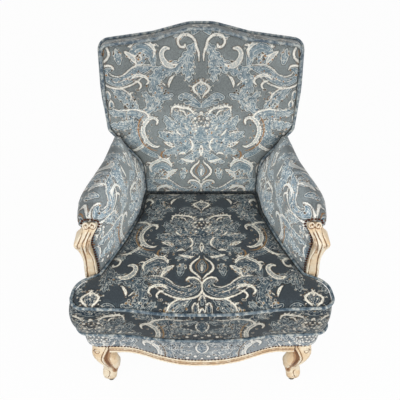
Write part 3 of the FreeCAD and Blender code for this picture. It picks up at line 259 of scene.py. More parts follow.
def merged(parts):
    """The points and faces of several parts as those of one."""
    points, faces, start = [], [], 0
    for more, more_faces in parts:
        faces += [tuple(start + i for i in face) for face in more_faces]
        points.append(more)
        start += len(more)
    return np.concatenate(points), faces


def raster(node, origin, across, up, rows, columns, steps):
    """A grid over a node as it is seen along a direction: each row runs from edge to edge."""
    tree = surface_of(nodes[node].data)
    across, up, origin = Vector(across), Vector(up), Vector(origin)
    inwards = up.cross(across).normalized()
    grid = []
    for v in rows:
        hits = []
        for u in steps:
            found = tree.ray_cast(origin + across * u + up * v - inwards, inwards)
            if found[0] is not None:
                hits.append((u, found[0]))
        if len(hits) < 2:
            continue
        us = np.array([u for u, _ in hits])
        spots = np.array([tuple(p) for _, p in hits])
        at = np.linspace(us[0], us[-1], columns)
        grid.append(np.stack([np.interp(at, us, spots[:, axis]) for axis in range(3)], 1))
    return np.array(grid)


# -------------------------------------------------------------------- the damask's drawing
# One repeat of a traditional acanthus damask with a vase, scrolls and leaves, mirrored at its
# axis and repeated with a half drop. Places are (across, up) on the flat cloth in millimetres,
# and each field holds the distance to the outline of its figures, negative inside.

HALF_WIDTH, REPEAT = 320, 800
EDGE = 30  # drawn past the repeat's sides
REACH = 16  # how far round a stroke its distance is drawn
FAR = 30.0  # the distance where nothing is near
FIELDS = ("leaf", "vein", "cream", "gold", "spot")
fields = {name: np.full((REPEAT, HALF_WIDTH + 2 * EDGE + 1), FAR, np.float32) for name in FIELDS}


def dab(field, a, b):
    """Draws one tapered piece of a stroke between two points (across, up, half width)."""
    pad = max(a[2], b[2]) + REACH
    left, right = int(min(a[0], b[0]) - pad), int(max(a[0], b[0]) + pad) + 1
    xs = np.arange(max(left, -EDGE), min(right, HALF_WIDTH + EDGE) + 1)
    ys = np.arange(int(min(a[1], b[1]) - pad), int(max(a[1], b[1]) + pad) + 2)
    if not len(xs):
        return
    px, py = xs[None, :] - a[0], ys[:, None] - a[1]
    dx, dy = b[0] - a[0], b[1] - a[1]
    share = np.clip((px * dx + py * dy) / max(dx * dx + dy * dy, 1e-6), 0, 1)
    away = np.hypot(px - share * dx, py - share * dy) - (a[2] + share * (b[2] - a[2]))
    window = np.ix_(ys % REPEAT, xs + EDGE)
    fields[field][window] = np.minimum(fields[field][window], away)


THREAD = 0.6  # half the width of the finest line


def line_through(points, step=3.0):
    """A smooth line of points (across, up, half width) through the given ones."""
    p = np.array(points, float)
    p = np.vstack([2 * p[0] - p[1], p, 2 * p[-1] - p[-2]])
    made = []
    for i in range(1, len(p) - 2):
        a, b, c, d = p[i - 1:i + 3]
        count = max(2, int(np.hypot(*(c - b)[:2]) / step))
        t = np.linspace(0, 1, count, endpoint=False)[:, None]
        made.append(0.5 * (2 * b + (c - a) * t + (2 * a - 5 * b + 4 * c - d) * t ** 2
                           + (3 * b - a - 3 * c + d) * t ** 3))
    line = np.vstack(made + [p[-2:-1]])
    line[:, 2] = np.maximum(line[:, 2], THREAD)
    return line


def stroke(field, *points):
    line = line_through(points)
    for a, b in zip(line[:-1], line[1:]):
        dab(field, a, b)


def acanthus(lobes, reach, sides, *points):
    """A leaf along a spine, with lobes that reach out on one side or both."""
    line = line_through(points)
    stroke("leaf", *points)
    stroke("vein", *[(x, v, THREAD) for x, v, _ in points])
    for number in range(lobes):
        share = (number + 0.5) / lobes
        i = min(int(share * (len(line) - 1)), len(line) - 2)
        along = line[i + 1, :2] - line[i, :2]
        along /= np.linalg.norm(along)
        for side in sides:
            across = np.array((-along[1], along[0])) * side
            length = line[i, 2] * 0.6 + reach * math.sin(math.pi * (0.22 + 0.66 * share))
            middle = line[i, :2] + length * (0.62 * across + 0.12 * along)
            tip = line[i, :2] + length * (0.80 * across + 0.62 * along)
            stroke("leaf", (*line[i, :2], length * 0.26), (*middle, length * 0.30), (*tip, 1.6))
            stroke("vein", (*line[i, :2], THREAD), (*middle, THREAD), (*tip, THREAD))
            dots("spot", (*(line[i, :2] + length * (1.02 * across + 0.70 * along)), 1.4))


def frill(count, radius, offset, *points):
    """Small scallops along one side of a line."""
    line = line_through([(x, v, 1.0) for x, v in points])[:, :2]
    along = np.gradient(line, axis=0)
    along /= np.linalg.norm(along, axis=1)[:, None]
    for i in np.linspace(0, len(line) - 1, count).astype(int):
        aside = np.array((-along[i, 1], along[i, 0]))
        dots("cream", (*(line[i] + offset * aside), radius))
        if i % 2:
            dots("spot", (*(line[i] + (offset + math.copysign(radius + 3.2, offset)) * aside), 1.2))


def dots(field, *points):
    for point in points:
        dab(field, point, point)


def crown():
    stroke("cream", (7, 472, 2), (8, 494, 4), (15, 514, 4.5), (21, 534, 4.5), (38, 547, 5), (60, 546, 5),
           (72, 532, 4.5), (66, 515, 4), (52, 513, 5), (50, 520, 4))
    stroke("cream", (74, 462, 3), (88, 456, 8), (106, 461, 10), (120, 478, 9), (122, 496, 8), (112, 508, 7),
           (99, 508, 4))
    acanthus(5, 15, (1, -1), (24, 520, 5), (34, 500, 9), (42, 478, 11), (42, 455, 12), (40, 430, 9),
             (38, 410, 3))
    acanthus(8, 15, (-1, 1), (46, 486, 7), (66, 458, 12), (98, 450, 14), (130, 436, 15), (148, 405, 14),
             (142, 372, 12), (118, 357, 9), (94, 366, 5))
    stroke("cream", (84, 428, 2), (94, 418, 5), (101, 404, 5), (102, 390, 2))
    stroke("cream", (108, 392, 1), (116, 398, 3), (124, 408, 1.5))
    dots("spot", (112, 380, 2.5), (124, 388, 2.2), (104, 372, 2.2), (126, 402, 2), (118, 369, 2),
         (134, 396, 2))
    dots("spot", (84, 456, 2), (96, 470, 2), (60, 452, 2.2), (118, 444, 2))


def palmette():
    stroke("cream", (0, 421, 1.5), (3, 409, 3.4), (14, 401, 4), (25, 391, 4.6), (21, 378, 4.4),
           (10, 368, 3.6), (2, 353, 2.4))
    frill(7, 3.0, 5.0, (3, 412), (15, 404), (27, 392), (24, 376), (12, 364))
    stroke("cream", (0, 410, 1.5), (2, 402, 3.5), (0, 394, 2))
    stroke("leaf", (0, 397, 4), (9, 390, 7), (5, 378, 5), (0, 371, 4))
    stroke("leaf", (2, 378, 3), (9, 374, 3))
    dots("spot", (9, 399, 1.4), (17, 390, 1.4), (14, 380, 1.4), (6, 370, 1.4), (0, 343, 2.2), (0, 386, 1.4))
    stroke("leaf", (4, 334, 4), (26, 350, 8), (48, 364, 9), (68, 358, 6), (62, 350, 3))
    stroke("vein", (4, 334, 0.6), (26, 350, 0.6), (48, 364, 0.6), (66, 357, 0.6))
    stroke("leaf", (4, 326, 4), (30, 336, 6), (52, 340, 4))
    stroke("cream", (22, 300, 3), (32, 314, 4), (46, 322, 5), (62, 324, 5), (80, 328, 5), (93, 322, 4),
           (96, 306, 3))
    frill(9, 3.6, 5.5, (22, 302), (32, 315), (46, 324), (62, 326), (80, 330), (94, 323))
    stroke("cream", (50, 298, 3), (56, 310, 3.6), (70, 316, 3))
    dots("spot", (24, 316, 2), (41, 305, 2.2), (84, 316, 1.6), (64, 310, 1.6))
    dots("cream", (0, 305, 7), (20, 287, 6), (21, 264, 5.5), (7, 288, 4), (14, 274, 4), (0, 276, 4.5),
         (30, 276, 4), (9, 258, 4.5), (28, 250, 4), (17, 243, 5), (36, 262, 3.5), (5, 298, 3.5),
         (33, 289, 3.5), (0, 262, 4))
    dots("spot", (13, 297, 1.3), (27, 282, 1.3), (27, 269, 1.3), (7, 281, 1.3), (14, 265, 1.3),
         (23, 256, 1.3))
    acanthus(3, 9, (1,), (10, 300, 4), (24, 296, 7), (44, 290, 6))


def vase():
    acanthus(4, 15, (1, -1), (6, 250, 9), (40, 262, 12), (74, 284, 11), (90, 312, 5))
    acanthus(5, 15, (1, -1), (8, 238, 12), (56, 244, 14), (100, 262, 12), (116, 292, 5))
    acanthus(5, 17, (1, -1), (8, 215, 12), (60, 215, 15), (108, 215, 13), (137, 236, 5))
    acanthus(4, 14, (-1, 1), (8, 190, 10), (56, 182, 13), (94, 168, 11), (124, 160, 4))
    acanthus(4, 13, (-1,), (6, 166, 8), (34, 148, 11), (58, 134, 8), (78, 127, 3))
    stroke("leaf", (0, 216, 9), (0, 236, 11), (0, 250, 7))
    stroke("cream", (86, 184, 2), (100, 190, 8), (112, 196, 7), (126, 202, 2))
    stroke("cream", (0, 150, 2), (0, 166, 7), (0, 176, 8), (0, 192, 2))
    stroke("cream", (44, 218, 2), (34, 208, 4), (28, 192, 4), (32, 178, 4), (42, 168, 2))
    stroke("cream", (22, 132, 2), (40, 131, 6), (62, 138, 4), (72, 142, 2))
    stroke("cream", (52, 158, 3), (62, 163, 5), (74, 158, 3))
    stroke("cream", (64, 224, 2), (76, 236, 4), (84, 250, 2))
    stroke("cream", (40, 240, 1.5), (50, 252, 3.5), (52, 266, 1.5))
    stroke("cream", (96, 232, 1.5), (106, 238, 3.5), (122, 238, 2))
    dots("spot", (0, 178, 2.6), (94, 189, 2), (108, 194, 2), (121, 150, 2.2), (104, 152, 2.2), (86, 142, 2.2),
         (20, 232, 2.2), (58, 228, 2), (112, 222, 2), (72, 268, 2), (34, 234, 2), (66, 198, 2), (78, 172, 2),
         (30, 160, 2), (52, 206, 2))


def side_scroll():
    stroke("cream", (146, 264, 3), (143, 278, 5), (156, 288, 6), (174, 280, 7), (188, 260, 8), (192, 238, 8),
           (186, 212, 8), (172, 192, 7), (152, 182, 5), (138, 186, 2))
    frill(10, 2.6, 6.5, (146, 284), (158, 292), (175, 284), (190, 262), (196, 238), (190, 210), (174, 189))
    stroke("gold", (186, 296, 1), (201, 276, 2.3), (208, 248, 2.6), (205, 218, 2.6), (192, 190, 2.6),
           (170, 172, 2.4), (146, 166, 1))
    stroke("leaf", (212, 270, 6), (222, 244, 10), (218, 208, 11), (202, 178, 11), (178, 158, 10),
           (152, 146, 8))
    stroke("leaf", (204, 306, 4), (222, 300, 14), (232, 284, 10), (226, 266, 4))
    stroke("cream", (206, 312, 1.5), (222, 318, 2), (240, 304, 2), (242, 282, 2), (232, 264, 1.5))
    stroke("gold", (122, 168, 1), (132, 162, 2.6), (135, 148, 2.8), (128, 134, 1.2))
    acanthus(4, 12, (1, -1), (192, 300, 5), (168, 314, 9), (158, 336, 11), (170, 358, 8), (186, 372, 3))
    acanthus(3, 11, (1, -1), (160, 316, 5), (140, 330, 8), (128, 350, 4))
    acanthus(3, 11, (1, -1), (206, 316, 5), (222, 334, 8), (228, 356, 4))
    dots("spot", (162, 262, 2.4), (172, 240, 2.4), (164, 214, 2.4), (176, 222, 2), (152, 200, 2))
    dots("spot", (146, 372, 2.2), (204, 380, 2.2), (238, 330, 2), (214, 346, 2), (132, 312, 2))


def onion():
    stroke("cream", (2, 48, 2.5), (14, 62, 4), (30, 78, 4.5), (34, 94, 4.5), (24, 112, 4), (11, 124, 3.5),
           (6, 136, 2))
    stroke("gold", (2, 68, 1.2), (14, 80, 1.6), (18, 96, 1.6), (10, 112, 1.6), (2, 122, 1.4))
    stroke("leaf", (0, 78, 8), (0, 96, 11), (0, 114, 4))
    stroke("cream", (0, 76, 2.5), (0, 88, 4.5), (0, 102, 1.5))


def flames():
    stroke("cream", (101, 108, 3), (106, 120, 6), (118, 130, 7), (134, 134, 7), (150, 126, 7), (166, 116, 6),
           (176, 100, 5), (172, 82, 3))
    frill(9, 3.0, 5.5, (101, 110), (106, 121), (118, 131), (134, 135), (150, 127), (166, 117), (176, 101))
    stroke("cream", (132, 134, 6), (141, 143, 4), (146, 152, 1.5))
    stroke("cream", (118, 128, 5), (112, 140, 3.5), (104, 144, 1.5))
    stroke("cream", (166, 114, 5), (182, 118, 3.5), (190, 112, 1.5))
    acanthus(6, 9, (1,), (172, 62, 7), (166, 88, 13), (142, 106, 16), (116, 100, 14), (110, 78, 12),
             (124, 62, 8))
    stroke("leaf", (126, 64, 8), (138, 72, 9), (140, 84, 6))
    stroke("cream", (120, 92, 1.5), (130, 88, 3), (136, 78, 3), (130, 70, 1.5))
    dots("spot", (124, 86, 2.2), (132, 94, 2.2), (142, 88, 2.2), (126, 76, 2.2), (136, 66, 2), (148, 76, 2))
    acanthus(3, 7, (1, -1), (64, 64, 6), (62, 82, 9), (56, 104, 2))
    stroke("cream", (82, 98, 2), (92, 92, 7), (104, 82, 9), (114, 70, 6), (120, 58, 2))
    stroke("cream", (106, 86, 5), (118, 86, 3), (124, 80, 1))
    dots("spot", (90, 84, 2.2), (100, 74, 2.2), (112, 62, 2), (66, 96, 2), (50, 92, 2))


def paisley():
    stroke("leaf", (166, 52, 3), (146, 46, 9), (118, 38, 14), (92, 18, 15), (56, 2, 14), (26, 8, 10),
           (14, 24, 9), (24, 38, 7), (36, 42, 4))
    stroke("cream", (170, 58, 1.5), (146, 60, 3), (118, 57, 3), (96, 44, 3), (78, 28, 2.8), (56, 20, 2.8),
           (38, 24, 2.8), (30, 32, 2.5))
    stroke("cream", (160, 40, 1.5), (132, 18, 2.5), (100, -4, 3.4), (56, -18, 4), (18, -12, 4), (0, 8, 4),
           (2, 34, 4), (18, 51, 4), (38, 52, 4.5), (46, 42, 3))
    stroke("cream", (134, 38, 1), (106, 28, 2.4), (74, 8, 2.6), (48, 2, 2.4), (30, 12, 1.5))
    stroke("cream", (96, 12, 2), (112, 24, 5), (130, 27, 6), (148, 20, 5), (154, 6, 4), (146, -2, 2.5))
    stroke("cream", (108, 10, 2), (122, 6, 4), (130, -6, 4), (124, -16, 2.5))
    dots("spot", (20, 22, 3), (36, 10, 2), (60, 4, 2), (84, 14, 2), (104, 30, 2), (124, 40, 2),
         (148, -6, 2.4), (122, -20, 2.4), (154, 24, 2), (40, 40, 2.4))


def petals():
    for x, v, size_ in ((0, -14, 1.0), (19, -36, 0.95), (0, -52, 0.9), (29, -66, 0.8)):
        stroke("cream", (x - 9 * size_, v - 24 * size_, 2), (x - 8 * size_, v - 4 * size_, 3),
               (x, v + 6 * size_, 3), (x + 8 * size_, v - 4 * size_, 3), (x + 9 * size_, v - 24 * size_, 2))
        stroke("leaf", (x, v - 20 * size_, 4), (x, v - 4, 5))
    acanthus(4, 11, (-1, 1), (36, -22, 5), (56, -34, 10), (78, -54, 10), (92, -82, 4))
    acanthus(3, 9, (-1, 1), (60, -26, 4), (84, -36, 7), (104, -58, 3))
    stroke("cream", (44, -16, 2), (70, -20, 3.4), (92, -36, 3.6), (100, -54, 3.4), (116, -58, 2))
    stroke("cream", (92, -34, 3), (104, -28, 2.5), (112, -34, 1.5))
    dots("spot", (44, -48, 2.2), (60, -60, 2.2), (74, -78, 2.2), (100, -72, 2.2), (118, -50, 2),
         (16, -62, 2.2), (24, -84, 2.2), (0, -84, 2.2))


def bouquet():
    acanthus(5, 13, (1, -1), (20, -100, 6), (60, -104, 10), (104, -98, 12), (136, -110, 10), (140, -132, 5))
    stroke("cream", (30, -90, 2), (64, -92, 3), (100, -86, 3.5), (136, -94, 4), (152, -112, 4),
           (144, -130, 3), (130, -128, 2))
    stroke("leaf", (0, -108, 12), (0, -134, 15), (0, -158, 6))
    stroke("cream", (10, -100, 2), (18, -118, 3), (14, -138, 3), (2, -152, 2.5))
    acanthus(4, 12, (1, -1), (22, -150, 7), (52, -148, 11), (82, -140, 8), (96, -124, 3))
    dots("cream", (20, -170, 6.5), (0, -182, 5), (44, -178, 6), (66, -186, 4.5), (30, -192, 4), (52, -166, 3),
         (10, -166, 3), (0, -202, 4.5))
    dots("spot", (36, -160, 2.5), (8, -192, 2.5), (56, -176, 2.5), (20, -206, 2.5), (40, -204, 2.5),
         (80, -172, 2.5), (112, -122, 2.4), (88, -112, 2.4), (60, -118, 2.4), (126, -140, 2.2))
    acanthus(5, 14, (1, -1), (30, -214, 7), (64, -210, 12), (96, -190, 12), (120, -164, 5))
    frill(9, 3.0, -5.0, (62, -233), (88, -239), (113, -227), (131, -206), (132, -184))
    stroke("cream", (60, -232, 2), (88, -238, 5), (112, -226, 6), (130, -206, 6), (132, -184, 4),
           (122, -176, 2))
    stroke("leaf", (0, -214, 6), (10, -232, 10), (24, -246, 6))
    acanthus(3, 9, (1, -1), (40, -236, 4), (60, -248, 8), (84, -256, 3))


for part_of_repeat in (crown, palmette, vase, side_scroll, onion, flames, paisley, petals, bouquet):
    part_of_repeat()


def half_drop(field):
    """The figures at the axis and, half a repeat lower, those at the edge."""
    axis = field[:, EDGE:EDGE + HALF_WIDTH + 1]
    return np.minimum(axis, np.roll(axis[:, ::-1], REPEAT // 2, axis=0))


repeat_of = {name: half_drop(field) for name, field in fields.items()}


CREVICE_REACH = 50 * MM


def painted_crevice_shade(piece, *neighbours):
    """Painted shade: how much darker the cloth is painted where a piece sinks in between its neighbours, by
    its distance from their surfaces.
    """
    points = points_of(piece.data)
    near = np.full(len(points), 4 * CREVICE_REACH)
    for neighbour in neighbours:
        tree, around = surface_of(neighbour.data), points_of(neighbour.data)
        low, high = around.min(axis=0) - CREVICE_REACH, around.max(axis=0) + CREVICE_REACH
        for i in np.flatnonzero(np.all((points > low) & (points < high), axis=1)):
            found = tree.find_nearest(Vector(points[i]), CREVICE_REACH)
            if found[3] is not None:
                near[i] = min(near[i], found[3])
    near /= MM
    return 0.50 * np.exp(-(near / 12) ** 2) + 0.38 * np.exp(-(near / 26) ** 2)


def weave(piece, across, up, painted_light_and_shade=0.0):
    """Lays the damask on a piece, by each point's place on the flat cloth in millimetres.

    The last argument says how much lighter (over 0) or darker the cloth is painted there, as painted light
    and shade.
    """
    store(piece, "painted_light_and_shade", np.zeros(len(across)) + painted_light_and_shade)
    x = np.abs(across) % (2 * HALF_WIDTH)
    x = np.where(x > HALF_WIDTH, 2 * HALF_WIDTH - x, x)
    v = up % REPEAT
    column = np.minimum(x.astype(int), HALF_WIDTH - 1)
    row = v.astype(int) % REPEAT
    after = (row + 1) % REPEAT
    fx, fv = x - column, v - np.floor(v)
    for name, tile in repeat_of.items():
        low = tile[row, column] * (1 - fx) + tile[row, column + 1] * fx
        high = tile[after, column] * (1 - fx) + tile[after, column + 1] * fx
        store(piece, name, low * (1 - fv) + high * fv)


# --------------------------------------------------------------------------- materials


def srgb(red, green, blue):
    """A colour written as 0-255 display values, as linear values."""
    shares = [c / 255 for c in (red, green, blue)]
    return [((c + 0.055) / 1.055) ** 2.4 if c > 0.04045 else c / 12.92 for c in shares] + [1.0]


class Paint:
    """A material put together from nodes by short calls."""

    def __init__(self, name, **shader):
        self.material = bpy.data.materials.new(name)
        self.material.use_nodes = True
        self.tree = self.material.node_tree
        self.shader = self.tree.nodes["Principled BSDF"]
        for socket, value in shader.items():
            self.shader.inputs[socket.replace("_", " ")].default_value = value
        self.place = self.tree.nodes.new("ShaderNodeTexCoord").outputs["Object"]

    def feed(self, socket, value):
        if isinstance(value, bpy.types.NodeSocket):
            self.tree.links.new(value, socket)
        else:
            socket.default_value = value

    def math(self, operation, *values):
        made = self.tree.nodes.new("ShaderNodeMath")
        made.operation = operation
        for socket, value in zip(made.inputs, values):
            self.feed(socket, value)
        return made.outputs[0]

    def add(self, a, b):
        return self.math("ADD", a, b)

    def times(self, a, b):
        return self.math("MULTIPLY", a, b)

    def attribute(self, name):
        made = self.tree.nodes.new("ShaderNodeAttribute")
        made.attribute_name = name
        return made.outputs["Fac"]

    def around(self, value, width):
        """A value from 0 to 1 as one from -width / 2 to width / 2."""
        return self.math("MULTIPLY_ADD", value, width, -width / 2)

    def noise(self, scale, detail, rough, stretch=None):
        made = self.tree.nodes.new("ShaderNodeTexNoise")
        for socket, value in (("Scale", scale), ("Detail", detail), ("Roughness", rough)):
            made.inputs[socket].default_value = value
        place = self.place
        if stretch:
            scaled = self.tree.nodes.new("ShaderNodeVectorMath")
            scaled.operation = "MULTIPLY"
            scaled.inputs[1].default_value = stretch
            self.tree.links.new(place, scaled.inputs[0])
            place = scaled.outputs[0]
        self.tree.links.new(place, made.inputs["Vector"])
        return made.outputs["Fac"]

    def step(self, value, low, high, start=0.0, end=1.0):
        """Rises smoothly from start to end while the value goes from low to high."""
        made = self.tree.nodes.new("ShaderNodeMapRange")
        made.interpolation_type = "SMOOTHSTEP"
        for socket, number in zip(made.inputs, (value, low, high, start, end)):
            self.feed(socket, number)
        return made.outputs[0]

    def mix(self, share, a, b):
        made = self.tree.nodes.new("ShaderNodeMix")
        made.data_type = "RGBA"
        self.feed(made.inputs[0], share)
        self.feed(made.inputs[6], a)
        self.feed(made.inputs[7], b)
        return made.outputs[2]

    def shade(self, colour, amount):
        """The colour times 1 + amount."""
        scaled = self.tree.nodes.new("ShaderNodeVectorMath")
        scaled.operation = "SCALE"
        self.feed(scaled.inputs[0], colour if isinstance(colour, bpy.types.NodeSocket) else colour[:3])
        self.feed(scaled.inputs["Scale"], self.add(amount, 1.0))
        return scaled.outputs[0]

    def bump(self, height, strength, distance):
        made = self.tree.nodes.new("ShaderNodeBump")
        made.inputs["Strength"].default_value = strength
        made.inputs["Distance"].default_value = distance
        self.feed(made.inputs["Height"], height)
        self.tree.links.new(made.outputs[0], self.shader.inputs["Normal"])

    def done(self, colour, roughness=None):
        self.feed(self.shader.inputs["Base Color"], colour)
        if roughness is not None:
            self.feed(self.shader.inputs["Roughness"], roughness)
        return self.material


class Damask(Paint):
    """Chenille damask: the drawing's fields turned into threads, with a pile and a ragged edge."""

    def __init__(self, name, worn):
        super().__init__(name, Sheen_Weight=0.22, Sheen_Roughness=0.45, Specular_IOR_Level=0.18)
        self.worn = worn
        self.thread = self.noise(620, 2.0, 0.6)
        self.ragged = self.noise(230, 2.0, 0.6)
        self.patchy = self.noise(60, 3.0, 0.6)
        self.wobble = self.around(self.ragged, 8.0)
        self.tone = self.add(self.around(self.thread, 0.9), self.around(self.ragged, 0.9))
        self.some = self.step(self.patchy, 0.38, 0.58)
        self.depth, self.white = self.attribute("leaf"), self.attribute("cream")

    def inside(self, field, at, soft, share):
        """Where a field of the drawing is under a value, with a ragged edge."""
        edge = self.math("MULTIPLY_ADD", self.wobble, share, self.attribute(field))
        return self.step(edge, at + soft, at - soft)

    def line(self, distance, at, width, loose=0.4):
        """A thread line where a distance has a value."""
        off = self.add(self.math("MULTIPLY_ADD", self.wobble, loose, distance), -at)
        return self.step(self.math("ABSOLUTE", off), width + 0.7, width - 0.5)

    def over(self, colour, share, *amounts):
        """Lays the last amount, a colour, over another by the product of the shares before it."""
        for amount in amounts[:-1]:
            share = self.times(share, amount)
        return self.mix(share, colour, amounts[-1])

    def ground(self, tint, vein):
        """The ground cloth: shadowed round the figures, with faint lines that follow the leaves."""
        few = self.step(self.patchy, 0.50, 0.60)
        swell = self.around(self.noise(7, 3.0, 0.55), 0.5)
        colour = self.shade(tint, self.add(self.tone, swell))
        shadow = self.shade(colour, -0.38)
        colour = self.over(colour, self.line(self.depth, 2.6, 1.2), 0.8, shadow)
        colour = self.over(colour, self.line(self.white, 1.6, 1.2), 0.8, shadow)
        colour = self.over(colour, self.line(self.depth, 5.6, 0.7), self.some, 0.45, vein)
        return self.over(colour, self.line(self.depth, 9.6, 0.6), few, 0.40, vein)

    def leaves(self, tone, vein, outline, cream):
        """The leaves: lines inside their outline, curls, veins and pale flecks."""
        into = self.add(self.depth, self.around(self.noise(55, 2.0, 0.5), 5.0))
        colour = self.mix(self.step(into, -3.4, -5.0), tone, self.mix(0.22, tone, vein))
        pale = self.mix(0.6, vein, cream)
        parts = self.step(self.ragged, 0.44, 0.54)
        colour = self.over(colour, self.line(into, -4.6, 0.9, 0.6), parts, 0.85, pale)
        colour = self.over(colour, self.line(into, -9.0, 0.9, 0.6), self.some, 0.8, vein)
        curls = self.math("ABSOLUTE", self.add(self.noise(90, 1.0, 0.5), -0.5))
        colour = self.over(colour, self.step(curls, 0.024, 0.008), 0.50, outline)
        colour = self.over(colour, self.line(self.attribute("vein"), 0.0, 0.8), self.some, 0.95, outline)
        return self.over(colour, self.step(self.noise(130, 2.0, 0.5), 0.62, 0.70), 0.8, cream)

    def scrolls(self, leaf_tone, vein, cream):
        """The cream scrolls: threadbare in places, and duller along their middle."""
        colour = self.shade(cream, self.add(self.tone, self.math("MULTIPLY_ADD", self.patchy, 0.8, -0.42)))
        bare = self.step(self.ragged, 0.62 - 0.10 * self.worn, 0.72 - 0.10 * self.worn, 0.0, 0.8)
        colour = self.mix(bare, colour, leaf_tone)
        body = self.mix(self.step(self.ragged, 0.40, 0.60), vein, self.shade(cream, -0.22))
        middle = self.step(self.math("MULTIPLY_ADD", self.wobble, 0.5, self.white), -3.4, -5.0, 0.0, 0.85)
        return self.mix(middle, colour, body)


def damask(name, ground, leaf, vein, outline, cream, gold, worn=0.0):
    paint = Damask(name, worn)
    dull_gold = srgb(*[c * 0.38 for c in gold])
    ground, leaf, vein, outline, cream, gold = (
        srgb(*tint) for tint in (ground, leaf, vein, outline, cream, gold))
    faded = paint.math("MULTIPLY_ADD", paint.patchy, 1.6, paint.add(paint.tone, -0.85))
    leaf_tone = paint.shade(leaf, faded)
    colour = paint.mix(paint.inside("leaf", 0.0, 0.7, 0.5), paint.ground(ground, vein),
                       paint.leaves(leaf_tone, vein, outline, cream))
    broken = paint.step(paint.patchy, 0.25, 0.55, 0.45, 1.0)
    colour = paint.over(colour, paint.line(paint.depth, 0.0, 0.9), broken, outline)
    colour = paint.mix(paint.inside("cream", -1.2, 0.7, 0.8), colour, paint.scrolls(leaf_tone, vein, cream))
    gilt = paint.step(paint.noise(75, 2.0, 0.5), 0.48, 0.60)
    colour = paint.over(colour, paint.line(paint.white, 0.6, 0.3), gilt, 0.8, gold)
    colour = paint.over(colour, paint.inside("gold", 0.0, 0.7, 0.5), 0.9, paint.shade(gold, paint.tone))
    spot = paint.attribute("spot")
    colour = paint.over(colour, paint.step(spot, 2.6, 1.5), paint.some, 0.7, cream)
    knot = paint.mix(paint.step(paint.noise(85, 1.0, 0.5), 0.50, 0.58), dull_gold, gold)
    colour = paint.over(colour, paint.step(spot, 1.4, 0.3), 0.95, knot)

    raised = paint.add(paint.step(paint.white, 1.5, -1.5), paint.step(paint.depth, 1.0, -1.0, 0.0, 0.6))
    paint.bump(paint.add(paint.times(raised, 0.55), paint.times(paint.thread, 0.45)), 0.6, 0.0012)
    # Painted light and shade: the cloth lighter or darker by the amount that each piece stores for it.
    colour = paint.shade(colour, paint.attribute("painted_light_and_shade"))
    return paint.done(colour, paint.math("MULTIPLY_ADD", paint.thread, 0.15, 0.72))


# One damask in four colourings: the seat's much darker, and the grounds of the arms and the band a little
# lighter than the back's, as painted shade and light for the sheen of the pile as light falls on each piece.
CREAM_THREAD, GOLD_THREAD = (226, 222, 212), (150, 110, 66)
back_cloth = damask("back_damask", (118, 124, 124), (98, 119, 131), (146, 159, 164), (186, 189, 185),
                    CREAM_THREAD, GOLD_THREAD)
seat_cloth = damask("cushion_damask", (64, 72, 78), (30, 52, 70), (102, 121, 129), (162, 170, 168),
                    (252, 246, 230), (158, 124, 80))
arm_cloth = damask("arm_damask", (122, 129, 131), (92, 116, 131), (158, 171, 178), (204, 207, 204),
                   (232, 229, 221), GOLD_THREAD, worn=0.4)
band_cloth = damask("band_damask", (130, 137, 141), (62, 84, 100), (158, 168, 174), (204, 206, 203),
                    (238, 234, 225), (100, 80, 60), worn=0.4)


def flecked(name, light, middle, dark, scale, behind=None):
    """Piping cloth: the damask seen in small pieces, on the bias; painted shade darkens it behind a place
    along y.
    """
    paint = Paint(name, Sheen_Weight=0.2, Sheen_Roughness=0.45, Specular_IOR_Level=0.2)
    patch = paint.noise(scale, 2.0, 0.55)
    thread = paint.noise(640, 2.0, 0.6)
    tone = paint.around(thread, 0.5)
    colour = paint.mix(paint.step(patch, 0.38, 0.50), srgb(*dark), srgb(*middle))
    colour = paint.mix(paint.step(patch, 0.54, 0.62), colour, srgb(*light))
    if behind is not None:
        along = paint.tree.nodes.new("ShaderNodeSeparateXYZ")
        paint.tree.links.new(paint.place, along.inputs[0])
        # Painted shade: darker from the given place back along y.
        colour = paint.shade(colour, paint.step(along.outputs["Y"], behind, behind + 0.10, 0.0, -0.82))
    paint.bump(thread, 0.5, 0.001)
    return paint.done(paint.shade(colour, tone), 0.78)


def plain_cloth(name, tint, scale=420):
    paint = Paint(name, Sheen_Weight=0.15, Specular_IOR_Level=0.2)
    thread = paint.noise(scale, 2.0, 0.6)
    broad = paint.noise(9, 3.0, 0.5)
    tone = paint.add(paint.around(thread, 0.5),
                      paint.around(broad, 0.3))
    paint.bump(thread, 0.4, 0.001)
    return paint.done(paint.shade(srgb(*tint), tone), 0.85)


def hessian_cloth(name, tint):
    """Open jute weave: threads both ways with gaps between them."""
    paint = Paint(name, Specular_IOR_Level=0.15)
    one = paint.noise(1.0, 2.0, 0.6, stretch=(30, 30, 700))
    two = paint.noise(1.0, 2.0, 0.6, stretch=(700, 30, 30))
    tone = paint.math("MULTIPLY_ADD", paint.add(one, two), 0.6, -0.6)
    paint.bump(paint.add(one, two), 0.6, 0.0012)
    return paint.done(paint.shade(srgb(*tint), tone), 0.9)


